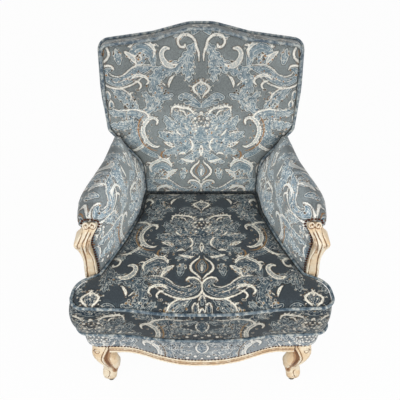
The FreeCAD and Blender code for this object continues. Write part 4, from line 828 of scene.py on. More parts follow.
def painted_wood(name, carved):
    """Cream paint, darkened in the grooves by brown glaze and painted shade, lighter on the sharp edges as
    painted highlights, and worn through to the wood in places.
    """
    paint = Paint(name, Specular_IOR_Level=0.35, Coat_Weight=0.08, Coat_Roughness=0.4)
    grain = paint.noise(1.0, 4.0, 0.6, stretch=(90, 90, 14))
    stain = paint.noise(22, 5.0, 0.62)
    fine = paint.noise(150, 4.0, 0.6)
    colour = paint.mix(paint.step(stain, 0.36, 0.66), srgb(240, 227, 202), srgb(226, 198, 160))
    colour = paint.shade(colour, paint.around(grain, 0.22))
    chips = paint.times(paint.step(fine, 0.60, 0.68), paint.step(stain, 0.50, 0.62))
    colour = paint.mix(paint.times(chips, 0.6), colour, srgb(158, 112, 70))
    if carved:
        # Painted highlights: the sharp edges and the given lines painted near white.
        painted_highlight = paint.add(paint.attribute("edge"), paint.around(fine, 0.7))
        colour = paint.mix(paint.step(painted_highlight, 0.42, 0.86, 0.0, 0.85), colour, srgb(252, 245, 228))
        wear = paint.add(paint.attribute("wear"), paint.around(fine, 0.9))
        colour = paint.mix(paint.step(wear, 0.40, 0.85, 0.0, 0.85), colour, srgb(158, 114, 74))
        # Brown glaze and painted shade: the hollows and the given lines painted dark brown.
        glaze_and_shade = paint.add(paint.attribute("groove"), paint.around(fine, 0.5))
        colour = paint.mix(paint.step(glaze_and_shade, 0.22, 0.75, 0.0, 0.95), colour, srgb(122, 84, 54))
    paint.bump(paint.add(grain, paint.times(fine, 0.5)), 0.25, 0.0012)
    return paint.done(colour, paint.math("MULTIPLY_ADD", fine, 0.2, 0.42))


def raw_beech(name):
    paint = Paint(name, Specular_IOR_Level=0.3)
    grain = paint.noise(1.0, 5.0, 0.6, stretch=(160, 160, 8))
    flecks = paint.noise(1.0, 2.0, 0.5, stretch=(300, 300, 60))
    colour = paint.mix(grain, srgb(188, 146, 104), srgb(216, 180, 140))
    colour = paint.mix(paint.step(flecks, 0.62, 0.70, 0.0, 0.5), colour, srgb(150, 108, 72))
    paint.bump(grain, 0.2, 0.001)
    return paint.done(colour, 0.6)


def metal(name, tint, dark, rough):
    paint = Paint(name, Metallic=0.85)
    patina = paint.noise(180, 3.0, 0.6)
    colour = paint.mix(paint.step(patina, 0.42, 0.66), srgb(*tint), srgb(*dark))
    paint.bump(patina, 0.15, 0.0006)
    return paint.done(colour, paint.math("MULTIPLY_ADD", patina, 0.3, rough - 0.15))


piping = flecked("welt_cloth", (178, 182, 178), (132, 142, 147), (84, 98, 110), 85)
# The cushion's welts get painted shade from y = -0.06 back, where they run beside the arms and the back.
seat_piping = flecked("cushion_welt_cloth", (190, 193, 188), (124, 138, 146), (70, 88, 102), 75, behind=-0.06)
lining = plain_cloth("lining_cloth", (70, 74, 78))
jute = hessian_cloth("hessian", (158, 132, 94))
web = hessian_cloth("webbing", (140, 112, 76))
dust_cloth = plain_cloth("dust_cover_cloth", (34, 34, 36), scale=520)
carved_paint = painted_wood("carved_paint", carved=True)
plain_paint = painted_wood("painted_wood", carved=False)
beech = raw_beech("beech")
bronze = metal("bronze_nails", (98, 62, 50), (40, 27, 25), 0.40)
spring = metal("spring_steel", (150, 150, 154), (86, 84, 84), 0.38)
glide_metal = metal("glide", (176, 172, 164), (110, 106, 100), 0.4)

# ------------------------------------------------------------------- places off the frame

BACK_RAKE = math.radians(10.18)
BACK_UP = np.array((0.0, math.sin(BACK_RAKE), math.cos(BACK_RAKE)))
BACK_IN = np.array((0.0, math.cos(BACK_RAKE), -math.sin(BACK_RAKE)))
BACK_ORIGIN = np.array((0.0, 0.174, 0.460))
X_AXIS = np.array((1.0, 0.0, 0.0))


def on_back(points):
    """(x, height up the back, depth behind its face) of points."""
    local = points - BACK_ORIGIN
    return local[:, 0], local @ BACK_UP, local @ BACK_IN


def from_back(x, up, depth):
    return BACK_ORIGIN + np.outer(x, X_AXIS) + np.outer(up, BACK_UP) + np.outer(depth, BACK_IN)


def profile(table, at):
    """What a table of (place, value) says at other places."""
    return np.interp(at, *zip(*table))


def bell(away, width):
    """1 on a line, and less the further away from it."""
    return np.exp(-(away / width) ** 2)


def rising(value, low, width):
    """0 up to low, then up to 1 over a width."""
    return np.clip((value - low) / width, 0, 1)


# ------------------------------------------------------------------------ carved show wood


def tube(points, thick, sides=12):
    """Points and faces of a closed round bar along a line, with its own radius at each point."""
    points, thick = np.array(points, float), np.array(thick, float)
    along = np.gradient(points, axis=0)
    along /= np.linalg.norm(along, axis=1)[:, None]
    side = np.cross(along, (0.0, 0.6, 0.8))
    side /= np.linalg.norm(side, axis=1)[:, None]
    up = np.cross(side, along)
    angles = np.linspace(0, 2 * math.pi, sides, endpoint=False)
    rings = [p + r * (np.outer(np.cos(angles), s) + np.outer(np.sin(angles), u))
             for p, r, s, u in zip(points, thick, side, up)]
    return np.concatenate(rings), ring_faces(len(rings), sides) + end_faces(len(rings), sides)


def joined(piece, parts, voxel):
    """The piece with more closed solids added, as one even skin."""
    own = points_of(piece.data), [tuple(face.vertices) for face in piece.data.polygons]
    points, faces = merged([own] + parts)
    mesh = bpy.data.meshes.new(piece.name)
    mesh.from_pydata([tuple(p) for p in points], [], faces)
    piece.data = mesh
    evened(piece, voxel)


def away_from(path, x, z):
    """Distance of points from a line drawn on the face of the wood, and how far along it they are."""
    path = np.array(path, float)
    best = np.full(len(x), 1e9)
    share = np.zeros(len(x))
    for i, ((ax, az), (bx, bz)) in enumerate(zip(path[:-1], path[1:])):
        dx, dz = bx - ax, bz - az
        t = np.clip(((x - ax) * dx + (z - az) * dz) / (dx * dx + dz * dz), 0, 1)
        away = np.hypot(x - ax - t * dx, z - az - t * dz)
        nearer = away < best
        best = np.where(nearer, away, best)
        share = np.where(nearer, (i + t) / (len(path) - 1), share)
    return best, share


def smooth_path(path):
    return line_through([(x, z, 1.0) for x, z in path], step=4.0)[:, :2]


def carve(piece, lines):
    """Cuts grooves (depth > 0) or raises beads (depth < 0) along lines on the front of the wood."""
    points, normals = points_of(piece.data), normals_of(piece.data)
    facing = rising(-normals[:, 1], 0.05, 0.35)
    x, z = np.abs(points[:, 0]) / MM, points[:, 2] / MM
    move = np.zeros(len(points))
    for width, depth, fade_in, fade_out, path in lines:
        away, share = away_from(smooth_path(path), x, z)
        ends = np.clip(share / max(fade_in, 1e-3), 0, 1) * np.clip((1 - share) / max(fade_out, 1e-3), 0, 1)
        move += depth * bell(away, width) * np.maximum(ends, 0.0 if fade_in or fade_out else 1.0)
    set_points(piece.data, points - normals * (move * facing * MM)[:, None])


def mark_carving(piece, worn=(), glaze_and_shade_lines=(), painted_highlight_lines=()):
    """Stores how hollow and how sharp the surface is, and where it is worn, where glaze and painted shade
    darken it, and where painted highlights lighten it.
    """
    a, b = edges_of(piece.data)
    points, normals = points_of(piece.data), normals_of(piece.data)
    count = len(points)
    degree = np.maximum(np.bincount(a, minlength=count) + np.bincount(b, minlength=count), 1)

    def mean(values):
        return (np.bincount(a, values[b], count) + np.bincount(b, values[a], count)) / degree

    middle = np.stack([mean(points[:, axis]) for axis in range(3)], 1)
    length = mean(np.zeros(count)) + np.linalg.norm(points[a] - points[b], axis=1).mean()
    bend = ((middle - points) * normals).sum(1) / length * 6.0
    for _ in range(3):
        bend = 0.5 * bend + 0.5 * mean(bend)
    x, z = np.abs(points[:, 0]) / MM, points[:, 2] / MM
    facing = np.clip(-normals[:, 1] * 3, 0, 1)
    # groove: glaze and painted shade in hollows and along lines; edge: painted highlights on sharp edges and
    # along lines; wear: worn through.
    for name, values, share, lines in (("groove", np.clip(bend, 0, 1), facing, glaze_and_shade_lines),
                                       ("edge", np.clip(-bend, 0, 1), facing, painted_highlight_lines),
                                       ("wear", np.zeros(count), 1.0, worn)):
        for width, strength, path in lines:
            away, _ = away_from(smooth_path(path), x, z)
            values = np.maximum(values, strength * share * bell(away, width))
        store(piece, name, values)


def reshaped(piece, node, levels, inner, outer):
    """Moves the sides of a piece in or out so that they run where inner and outer say at each height."""
    low, high = [], []
    for z in levels:
        segments = cut(node, (0, 0, z * MM), (1, 0, 0), (0, 1, 0))
        across = np.concatenate([segments[0][:, 0], segments[1][:, 0]]) / MM
        low.append(across.min())
        high.append(across.max())
    points = points_of(piece.data)
    z = points[:, 2] / MM
    was_low, was_high = np.interp(z, levels, low), np.interp(z, levels, high)
    new_low, new_high = profile(inner, z), profile(outer, z)
    share = (points[:, 0] / MM - was_low) / (was_high - was_low)
    points[:, 0] = (new_low + share * (new_high - new_low)) * MM
    set_points(piece.data, points)


# Where the inner and the outer side of the support run: (height, place across).
SUPPORT_INNER = ((322, 313), (475, 313), (504, 312), (531, 314), (560, 316), (578, 319), (592, 318),
                 (606, 315), (622, 310), (636, 305), (646, 298), (654, 292), (663, 291))
SUPPORT_OUTER = ((322, 353), (458, 353), (489, 350), (517, 348), (538, 349), (560, 352), (580, 356),
                 (595, 359.5), (607, 360), (617, 357), (630, 349), (645, 338), (655, 331), (663, 330))
# Carved lines: width, depth (beads below 0), how much of each end fades, path as (across, height).
SUPPORT_CARVING = (
    (2.2, 3.4, 0.12, 0.25, ((330, 655), (334, 642), (339, 631), (346, 615), (349, 602), (349, 588))),
    (2.3, 3.6, 0.05, 0, ((311.5, 663), (313, 654), (319, 645), (325, 634), (331, 625), (335, 606),
                         (338, 573), (338, 546), (339, 521), (341, 491), (343, 462), (343, 340))),
    (2.2, 3.4, 0.08, 0.2, ((303, 653), (309, 646), (314, 638), (318, 628), (323, 608), (328, 578),
                           (329, 556))),
    (1.9, 2.6, 0.15, 0, ((306, 645), (311, 632), (317, 610), (324, 580), (322, 556), (319, 541),
                         (318, 511), (319, 479), (319, 340))),
    (3.4, -1.5, 0.1, 0, ((321, 650), (329, 634), (334, 612), (342, 580), (344, 546), (344, 510),
                         (347, 470), (348, 340))),
    (3.2, -1.5, 0.1, 0.2, ((313, 648), (321, 632), (327, 610), (332, 585), (333, 562))),
    (2.6, -1.4, 0.1, 0, ((297, 646), (306, 630), (313, 608), (320, 580), (318, 556), (316, 538),
                         (315, 511), (316, 479), (316, 340))),
)
# Rubbed through to the wood: width, strength, path.
SUPPORT_WORN = ((9, 0.65, ((311, 634), (316, 615), (325, 580), (326, 562))),
                (6, 0.7, ((343, 606), (344, 596))),
                (10, 0.35, ((333, 520), (331, 400))))
SCROLL_EYES = ((320.5, 1), (302.0, -1))  # place across, and which way it turns
SCROLL_DEPTH, SCROLL_HEIGHT = -219.5, 665.0
SCROLL_UP, SCROLL_OUT = np.array((0.0, 0.72, 0.69)), np.array((0.0, -0.69, 0.72))
SCROLL_TURNS = np.radians(np.linspace(-70, 430, 70))
# Rings round each eye, dark for glaze and painted shade and pale for painted highlights: radius, width,
# height, from and to in degrees.
DARK_RINGS = ((4.6, 1.2, 667.4, (-60, 250)), (9.8, 1.6, 662.8, (-160, 0)))
PAINTED_HIGHLIGHT_RINGS = ((7.8, 1.4, 667.6, (-120, 300)),)


def scroll(place, turn):
    """A round boss and the spiral that winds up on it."""
    centre = np.array((place, SCROLL_DEPTH, SCROLL_HEIGHT))
    share = np.linspace(0, 1, len(SCROLL_TURNS))
    reach = 8.2 - 6.0 * share
    line = centre + np.outer(np.cos(SCROLL_TURNS) * reach * turn, X_AXIS)
    line = line + np.outer(np.sin(SCROLL_TURNS) * reach, SCROLL_UP)
    line = line + SCROLL_OUT * (3.6 + 2.6 * share)[:, None]
    boss = centre + np.outer(np.linspace(-13, 3.0, 5), SCROLL_OUT)
    return [tube(boss * MM, np.full(5, 8.6) * MM, sides=24), tube(line * MM, (2.3 - 0.6 * share) * MM)]


def rings(table):
    """The rings round both eyes as lines on the front of the wood."""
    return [(width, 0.8, [(place + turn * radius * math.cos(a), height + 0.7 * radius * math.sin(a))
                          for a in np.radians(np.arange(*ends, 20))])
            for place, turn in SCROLL_EYES for radius, width, height, ends in table]


def along_carving(lines, groove_share, groove_strength):
    """Where the grooves of some carving are darkened by glaze and painted shade, and its beads lightened by
    painted highlights.
    """
    dark = [(width * groove_share, groove_strength, path) for width, depth, _, _, path in lines if depth > 0]
    pale = [(width * 0.5, 0.9, path) for width, depth, _, _, path in lines if depth < 0]
    return dark, pale


def arm_support():
    """The carved arm support: twin scrolls at its top, flutes over its knuckle, a beaded shaft."""
    node = "right_arm_post"
    piece = even_copy(node, "right_arm_support", 1.8 * MM)
    reshaped(piece, node, np.arange(324, 662, 4), SUPPORT_INNER, SUPPORT_OUTER)
    joined(piece, [part for place, turn in SCROLL_EYES for part in scroll(place, turn)], 1.4 * MM)
    relax(piece, 1.0, 3)
    carve(piece, SUPPORT_CARVING)
    # Glaze and painted shade along the grooves and dark rings, painted highlights along the beads and pale
    # rings.
    dark, pale = along_carving(SUPPORT_CARVING, 0.45, 0.7)
    mark_carving(piece, glaze_and_shade_lines=dark + rings(DARK_RINGS), painted_highlight_lines=pale + rings(PAINTED_HIGHLIGHT_RINGS), worn=SUPPORT_WORN)
    return piece


# The leg's sides as (height, place across), and its front, here and in its solid, as (height, depth).
LEG_OUTER = ((4, 331), (15, 336), (32, 338), (52, 336), (73, 331), (90, 325), (103, 320), (118, 318),
             (132, 320), (152, 327), (172, 338), (190, 346), (205, 349), (225, 347), (240, 345), (322, 343))
LEG_INNER = ((4, 299), (15, 293), (30, 290), (48, 287), (60, 283), (90, 274), (110, 270), (135, 267),
             (163, 266), (178, 268), (190, 274), (200, 283), (210, 288), (322, 288))
LEG_FRONT = ((4, -288), (15, -295), (35, -297), (60, -291), (90, -300), (120, -319), (150, -331),
             (170, -334.8), (190, -335), (205, -334), (225, -330), (240, -326.8), (255, -321), (322, -321))
LEG_WAS_FRONT = ((4, -299), (15, -307.4), (35, -305.6), (60, -297.9), (90, -307.1), (120, -323.9),
                 (150, -332.7), *LEG_FRONT[7:])
LEG_BACK = -258.0
LEG_TRIM = 27  # how much of the inner knee's rear is taken off
LEG_MOULDINGS = (
    (7.0, 5.0, 0, 0.06, ((272, 238), (281, 230), (294, 218), (301, 202), (303, 186), (299, 167),
                         (296, 144), (295, 115), (295, 84), (293, 58))),
    (1.8, 2.6, 0, 0.15, ((290, 250), (300, 236), (309, 222), (316, 204), (319, 186), (315, 168),
                         (308, 148), (305, 120))),
    (2.8, -2.4, 0, 0.2, ((284, 248), (294, 233), (303, 219), (311, 203), (313, 187), (309, 170),
                         (303, 150), (301, 122))),
    (1.5, 1.9, 0, 0.2, ((280, 244), (289, 231), (298, 216), (306, 201), (308, 186), (304, 169),
                        (300, 148), (299, 122))),
    (3.2, -2.2, 0, 0.1, ((276, 226), (285, 215), (292, 202), (295, 188), (292, 172), (288, 154),
                         (284, 128), (284, 100), (286, 74), (288, 56))),
    (1.6, 2.2, 0.2, 0.2, ((318, 62), (312, 50), (316, 36), (322, 22))),
)
# Lines darkened by glaze and painted shade, round the rosette and at the toe: width, strength, path.
LEG_GLAZE_AND_SHADE_LINES = [(1.5, 0.8, ((336, 226), (331, 219), (323, 221), (321, 229), (328, 234), (336, 231),
                          (342, 222))),
              (3.0, 0.8, ((300, 8), (316, 5), (330, 8)))]
LEG_WORN = ((12, 1.2, ((270, 238), (279, 230), (292, 218), (300, 202), (301, 186), (297, 167),
                       (294, 144), (293, 115), (293, 84), (292, 58))),
            (9, 0.5, ((338, 236), (340, 214), (334, 190))),
            (8, 0.6, ((296, 30), (310, 22), (326, 30))))
ROSETTE_X, ROSETTE_Z, ROSETTE_RADIUS = 328.0, 226.0, 8.0


def shape_leg(piece):
    """Brings the leg's front to its profile and trims the rear of its inner knee."""
    points = points_of(piece.data)
    z = points[:, 2] / MM
    depth = (points[:, 1] / MM - LEG_BACK) / (profile(LEG_WAS_FRONT, z) - LEG_BACK)
    points[:, 1] = (LEG_BACK + depth * (profile(LEG_FRONT, z) - LEG_BACK)) * MM
    inner, outer = profile(LEG_INNER, z), profile(LEG_OUTER, z)
    inward = np.clip((outer - points[:, 0] / MM) / (outer - inner), 0, 1)
    behind = rising(points[:, 1] / MM, -308, 45)
    for share in (np.clip((236 - z) / 60, 0, 1), rising(z, 92, 60)):
        behind = behind * share * share * (3 - 2 * share)
    points[:, 0] += LEG_TRIM * behind * inward * MM
    set_points(piece.data, points)


def leg_scrolls():
    """The toe's scroll, and the ring and the button of the rosette."""
    angles = np.radians(np.linspace(200, -330, 60))
    share = np.linspace(0, 1, 60)
    reach = 11.5 - 7.5 * share
    toe = np.stack([311 + reach * np.cos(angles) * 1.2, -293.5 - 4.0 * share, 32 + reach * np.sin(angles)], 1)
    angles = np.radians(np.linspace(150, -250, 50))
    ring = np.stack([ROSETTE_X + ROSETTE_RADIUS * np.cos(angles), np.full(50, -329.0),
                     ROSETTE_Z + ROSETTE_RADIUS * np.sin(angles)], 1)
    button = np.stack([np.full(6, ROSETTE_X), np.linspace(-327, -333.5, 6), np.full(6, ROSETTE_Z)], 1)
    return [tube(toe * MM, (5.2 - 1.8 * share) * MM), tube(ring * MM, np.linspace(2.6, 1.6, 50) * MM),
            tube(button * MM, np.array((4.6, 4.6, 4.4, 3.8, 2.8, 0.8)) * MM)]


def front_leg():
    """A cabriole front leg: a rosette on its knee, an S-shaped moulding down its front, a scrolled toe."""
    node = "right_front_leg"
    piece = even_copy(node, "right_carved_leg", 1.9 * MM)
    reshaped(piece, node, np.append(np.arange(5, 256, 5), (258, 320)), LEG_INNER, LEG_OUTER)
    shape_leg(piece)
    joined(piece, leg_scrolls(), 1.5 * MM)
    relax(piece, 1.0, 4)
    carve(piece, LEG_MOULDINGS)
    # Glaze and painted shade along the grooves and given lines, painted highlights along the beads.
    dark, pale = along_carving(LEG_MOULDINGS, 0.6, 0.8)
    mark_carving(piece, glaze_and_shade_lines=dark + LEG_GLAZE_AND_SHADE_LINES, painted_highlight_lines=pale, worn=LEG_WORN)
    return piece


def apron():
    """The front rail, with a beaded moulding that follows its shaped lower edge."""
    piece = even_copy("front_seat_rail", "carved_apron", 2.0 * MM)
    relax(piece, 1.0, 2)
    points, normals = points_of(piece.data), normals_of(piece.data)
    x, z = points[:, 0] / MM, points[:, 2] / MM
    stations = np.arange(-288, 289, 6)
    floor = np.array([z[np.abs(x - station) < 5].min() for station in stations])
    above = z - np.interp(x, stations, floor)
    facing = rising(-normals[:, 1], 0.05, 0.35)
    beads = 2.6 * bell(above - 9.5, 1.7) + 2.0 * bell(above - 18.5, 1.6)
    grooves = 1.6 * bell(above - 4.5, 3.0) + 1.2 * bell(above - 14.0, 2.8)
    set_points(piece.data, points - normals * ((beads - grooves) * facing * MM)[:, None])
    # Glaze and painted shade in the rail's hollows, painted highlights on its sharp edges.
    mark_carving(piece)
    store(piece, "wear", 0.85 * bell(above - 13.0, 6.0) + 0.45 * bell(above - 1.0, 3.0))
    return piece


ROLL_BOTTOM, ROLL_TOP, ROLL_STEP = 344.0, 660.0, 4.0
ROLL_INNER = ((600, 303.2), (625, 296.0), (660, 284.0))


def arm_front_roll():
    """Cloth turned over the front edge of the arm, up to the support."""
    rows = []
    for z in np.arange(ROLL_BOTTOM, ROLL_TOP, ROLL_STEP):
        edge, inner = profile(SUPPORT_INNER, z), profile(ROLL_INNER, z)
        middle = 0.5 * (inner + edge)
        section = ((inner + 4, -190), (inner + 0.2, -197), (inner + 0.4, -203), (inner + 2.2, -207.5),
                   (middle - 0.5, -210.2), (edge - 1.5, -209.6), (edge + 2.5, -207), (edge + 3, -198),
                   (middle + 2, -190))
        rows.append([(x * MM, y * MM, z * MM) for x, y in section])
    sides = len(rows[0])
    faces = ring_faces(len(rows), sides) + end_faces(len(rows), sides)
    piece = new_piece("right_arm_front_roll", np.concatenate(rows), faces)
    subdivide(piece)
    subdivide(piece)
    return piece


def dome(base, normal, radius, sides=12, rings=4):
    """A small domed head that stands on base and faces along normal."""
    normal = np.array(normal, float) / np.linalg.norm(normal)
    side = np.cross(normal, (0.3, 0.1, 0.95))
    side /= np.linalg.norm(side)
    up = np.cross(normal, side)
    angles = np.linspace(0, 2 * math.pi, sides, endpoint=False)
    points = []
    for ring in range(rings):
        lean = ring / rings * math.pi / 2
        centre = np.array(base) + normal * (0.5 * radius * math.sin(lean))
        circle = np.outer(np.cos(angles), side) + np.outer(np.sin(angles), up)
        points.append(centre + radius * math.cos(lean) * circle)
    points = np.concatenate(points + [[np.array(base) + normal * 0.5 * radius]])
    faces = ring_faces(rings, sides)
    last = (rings - 1) * sides
    faces += [(last + i, last + (i + 1) % sides, last + sides) for i in range(sides)]
    faces.append(tuple(range(sides))[::-1])
    return points, faces


NAIL_PITCH, NAIL_RADIUS = 9.6, 3.7
NAILS_OFF_EDGE = 4.6
NAILS_OVER_SCROLLS = ((286.5, 653), (286.0, 663), (289.5, 671), (298, 675.5), (311, 676.5), (324, 676),
                      (331.5, 671), (335.5, 663), (338, 654))


def arm_nails():
    """Close nails along the edge of the support and round over its scrolls."""
    path = [(profile(SUPPORT_INNER, z) - NAILS_OFF_EDGE, z, 1.0) for z in range(350, 650, 6)]
    path += [(x, z, 1.0) for x, z in NAILS_OVER_SCROLLS]
    line = line_through(path, step=1.0)[:, :2]
    travelled = np.append(0, np.cumsum(np.linalg.norm(np.diff(line, axis=0), axis=1)))
    heads = []
    for at in np.arange(0, travelled[-1], NAIL_PITCH):
        x, z = (np.interp(at, travelled, line[:, axis]) for axis in range(2))
        front = np.interp(z, (640, 656), (-210.4, -208.4))
        lean = (-0.5, -1.0, 0.0) if z < 640 else (0.0, -1.0, 0.15)
        heads.append(dome((x * MM, front * MM, z * MM), lean, NAIL_RADIUS * MM))
    return new_piece("right_arm_nailing", *merged(heads))


# ---------------------------------------------------------------------------- upholstery

cushion_low, cushion_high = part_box("cushion_boxing")
SEAM_LOW, SEAM_HIGH = cushion_low.z, cushion_high.z
SKIN = 1.8 * MM  # how far a cover lies over the solid that it stands for
EARS_BEHIND, CUSHION_REAR = -0.235, 0.10  # where the cushion's ears end, and where its rear begins
BULGE, LEFT_EAR_BULGE, RIGHT_EAR_BULGE = 5.0, 15.0, 4.0


def cushion_cover():
    """The loose T-cushion: pressure rounds its top and its border between the welted seams."""
    piece = even_copy("cushion_core", "cushion_cover", 7 * MM)
    grow(piece, SKIN)
    points, normals = points_of(piece.data), normals_of(piece.data)
    sideways = np.abs(normals[:, 2]) < 0.8
    seam = sideways & ((np.abs(points[:, 2] - SEAM_HIGH) < 5 * MM) | (points[:, 2] < SEAM_LOW + 7 * MM))
    relax(piece, np.where(seam | sideways, 0.0, 1.0), 40)
    inside_neck = (points[:, 1] > EARS_BEHIND) & sideways
    rear = points[:, 1] > CUSHION_REAR
    cap = np.where(points[:, 2] < SEAM_LOW + 3 * MM, 0.2 * MM, 9 * MM)
    cap = np.where(inside_neck | rear, 1.5 * MM, cap)
    puff(piece, seam, 4.0, cap)
    points = points_of(piece.data)
    points[:, 2] = np.maximum(points[:, 2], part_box("cushion_bottom_panel")[0].z)
    level = np.clip((points[:, 2] - SEAM_LOW) / (SEAM_HIGH - SEAM_LOW), 0, 1)
    outside = sideways & (points[:, 1] < EARS_BEHIND) & (normals[:, 1] < 0.3)
    ears = rising(np.abs(points[:, 0]), 0.30, 0.05)
    fuller = np.where(points[:, 0] < 0, LEFT_EAR_BULGE, RIGHT_EAR_BULGE)
    bulge = outside * np.sin(math.pi * level) ** 0.8 * (BULGE + fuller * ears) * MM
    sidelong = normals * (1, 1, 0)
    sidelong /= np.maximum(np.linalg.norm(sidelong, axis=1), 0.2)[:, None]
    set_points(piece.data, points + sidelong * bulge[:, None])
    subdivide(piece)
    return piece


def back_face():
    """The crowned inside back, held along its welted edge."""
    piece = even_copy("back_pad", "back_face", 7 * MM)
    grow(piece, SKIN)
    _, _, depth = on_back(points_of(piece.data))
    free = depth < 1.5 * MM
    relax(piece, free.astype(float), 60)
    puff(piece, ~free, 4.0, 7 * MM)
    subdivide(piece)
    return piece


ARM_FRONT = -208
ARM_ROLL_X, ARM_ROLL_Z = 312, 632  # the axis that the gathers of the cloth point to
GATHERS = 19
# How far the arm's roll swells past its pad, by the distance behind its front.
ARM_FULLNESS = ((0, 0), (14, 2.5), (35, 8), (56, 13), (76, 17), (97, 18.5), (137, 17), (178, 14), (219, 11),
                (260, 7), (300, 6), (400, 6))


def arm_cover(side):
    """The padded arm: rolled over the arm rail, gathered round the scroll of its support."""
    piece = even_copy(side + "_arm_pad", side + "_arm_cover", 7 * MM)
    grow(piece, SKIN)
    points = points_of(piece.data)
    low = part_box(side + "_arm_pad")[0]
    held = (points[:, 2] < low.z + 10 * MM) | (points[:, 1] < low.y + 4 * MM)
    relax(piece, np.where(held, 0.0, 1.0), 25)
    puff(piece, held, 3.0, 5 * MM)
    subdivide(piece)
    points, normals = points_of(piece.data), normals_of(piece.data)
    x, y, z = np.abs(points[:, 0]) / MM, points[:, 1] / MM, points[:, 2] / MM
    from_front = y - ARM_FRONT
    outwards = np.abs(normals[:, 0]) * np.sign(normals[:, 0] * points[:, 0])
    outer = np.clip(0.9 * outwards + 0.75 * normals[:, 2] + 0.12, 0, 1) * rising(z, 520, 70)
    swell = profile(ARM_FULLNESS, from_front) * outer
    turn = np.arctan2(z - ARM_ROLL_Z, x - ARM_ROLL_X)
    fold = np.sin(GATHERS * turn + 1.1 * np.sin(3 * turn) + 0.02 * from_front)
    reach = np.clip(from_front / 7, 0, 1) * np.exp(-np.clip(from_front - 8, 0, None) / 26)
    swell += 2.3 * fold * reach * rising(z, 585, 40)
    set_points(piece.data, points + normals * (swell * MM)[:, None])
    return piece


def front_band():
    piece = even_copy("front_band", "front_band_cover", 4 * MM)
    relax(piece, 0.5, 4)
    points, normals = points_of(piece.data), normals_of(piece.data)
    low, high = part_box("front_band")
    level = np.clip((points[:, 2] - low.z) / (high.z - low.z), 0, 1)
    outwards = np.clip(np.abs(normals[:, 0]) * np.sign(normals[:, 0] * points[:, 0]), 0, 1)
    bulge = np.sin(math.pi * np.clip(level * 0.9 + 0.1, 0, 1)) * (10.0 * outwards ** 2) * MM
    set_points(piece.data, points + normals * bulge[:, None])
    subdivide(piece)
    return piece


def deck_lining():
    """The plain lining over the deck, which shows when the cushion is out."""
    piece = even_copy("seat_deck_pad", "deck_lining", 4 * MM)
    grow(piece, 1.2 * MM)
    return piece


def thickened(piece, thickness):
    solid = piece.modifiers.new("thick", "SOLIDIFY")
    solid.thickness = thickness
    solid.offset = -1.0
    solid.use_rim = True
    apply_modifiers(piece)
    smooth(piece)


def back_ring(centre, angles, reach, depth):
    """Points round a centre on the back, each at its own reach and all at one depth."""
    flat = centre + ways(angles) * reach[:, None]
    return from_back(flat[:, 0], flat[:, 1], np.full(len(flat), depth))


BORDER_NEAR, BORDER_FAR = 0.8 * MM, 100.0 * MM  # the depths of its two edges behind the back's face
BORDER_CENTRE = 380  # the height up the back that the border runs round


def back_border():
    """The boxing round the back, slightly full between its two welts."""
    centre = np.array((0.0, BORDER_CENTRE * MM))
    front = cut("back_inside_cover", BACK_ORIGIN + BACK_IN * BORDER_NEAR, X_AXIS, BACK_UP)
    rear = cut("back_outside_panel", BACK_ORIGIN + BACK_IN * BORDER_FAR, X_AXIS, BACK_UP)
    angles = np.radians(np.linspace(-41, 221, 520))
    a, b = radii(front, centre, angles), radii(rear, centre, angles)
    corner = angles[np.argmax(b)]
    from_corner = np.minimum(np.abs(angles - corner), np.abs(angles - (math.pi - corner)))
    fullness = 4.5 - 7.5 * bell(from_corner, 0.10)
    rows = []
    for share in np.linspace(0, 1, 29):
        bulge = fullness * MM * (1 - (2 * share - 1) ** 2)
        reach = a + share * (b - a) + bulge - 0.2 * MM
        rows.append(back_ring(centre, angles, reach, BORDER_NEAR + share * (BORDER_FAR - BORDER_NEAR)))
    piece = new_piece("back_border", np.concatenate(rows), ring_faces(len(rows), len(angles), closed=False))
    piece.data.flip_normals()
    thickened(piece, 1.4 * MM)
    return piece


OUTSIDE_DEPTH, OUTSIDE_FULLNESS = 101.2 * MM, 4.0 * MM
OUTSIDE_CENTRE = (0.0, 0.150)


def outside_back():
    """The outside back: cloth stretched over the frame, a little full in the middle."""
    centre = np.array(OUTSIDE_CENTRE)
    edge = cut("back_outside_panel", BACK_ORIGIN + BACK_IN * (OUTSIDE_DEPTH - 1.5 * MM), X_AXIS, BACK_UP)
    angles = np.linspace(0, 2 * math.pi, 500, endpoint=False)
    rim = radii(edge, centre, angles)
    rows = []
    for share in np.linspace(0.02, 1.0, 80):
        depth = OUTSIDE_DEPTH + OUTSIDE_FULLNESS * (1 - share ** 4)
        rows.append(back_ring(centre, angles, rim * share, depth))
    faces = ring_faces(len(rows), len(angles))
    faces.append(tuple(range(len(angles)))[::-1])
    piece = new_piece("outside_back", np.concatenate(rows), faces)
    thickened(piece, 2.4 * MM)
    return piece


def arm_outside(side):
    """The outside of an arm: cloth stretched from under the roll down over the side rail."""
    node = side + "_arm_outside_panel"
    low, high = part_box(node)
    sign = 1.0 if side == "right" else -1.0
    columns = 120
    rows = np.arange(low.z + 0.5 * MM, high.z, 4 * MM)
    steps = np.arange(low.y, high.y, 2 * MM)
    grid = raster(node, (sign * 1.0, 0, 0), (0, -sign, 0), (0, 0, 1), rows, columns, np.sort(-sign * steps))
    faces = ring_faces(len(grid), columns, closed=False)
    piece = new_piece(side + "_arm_outside", grid.reshape(-1, 3), faces)
    thickened(piece, 2.4 * MM)
    return piece


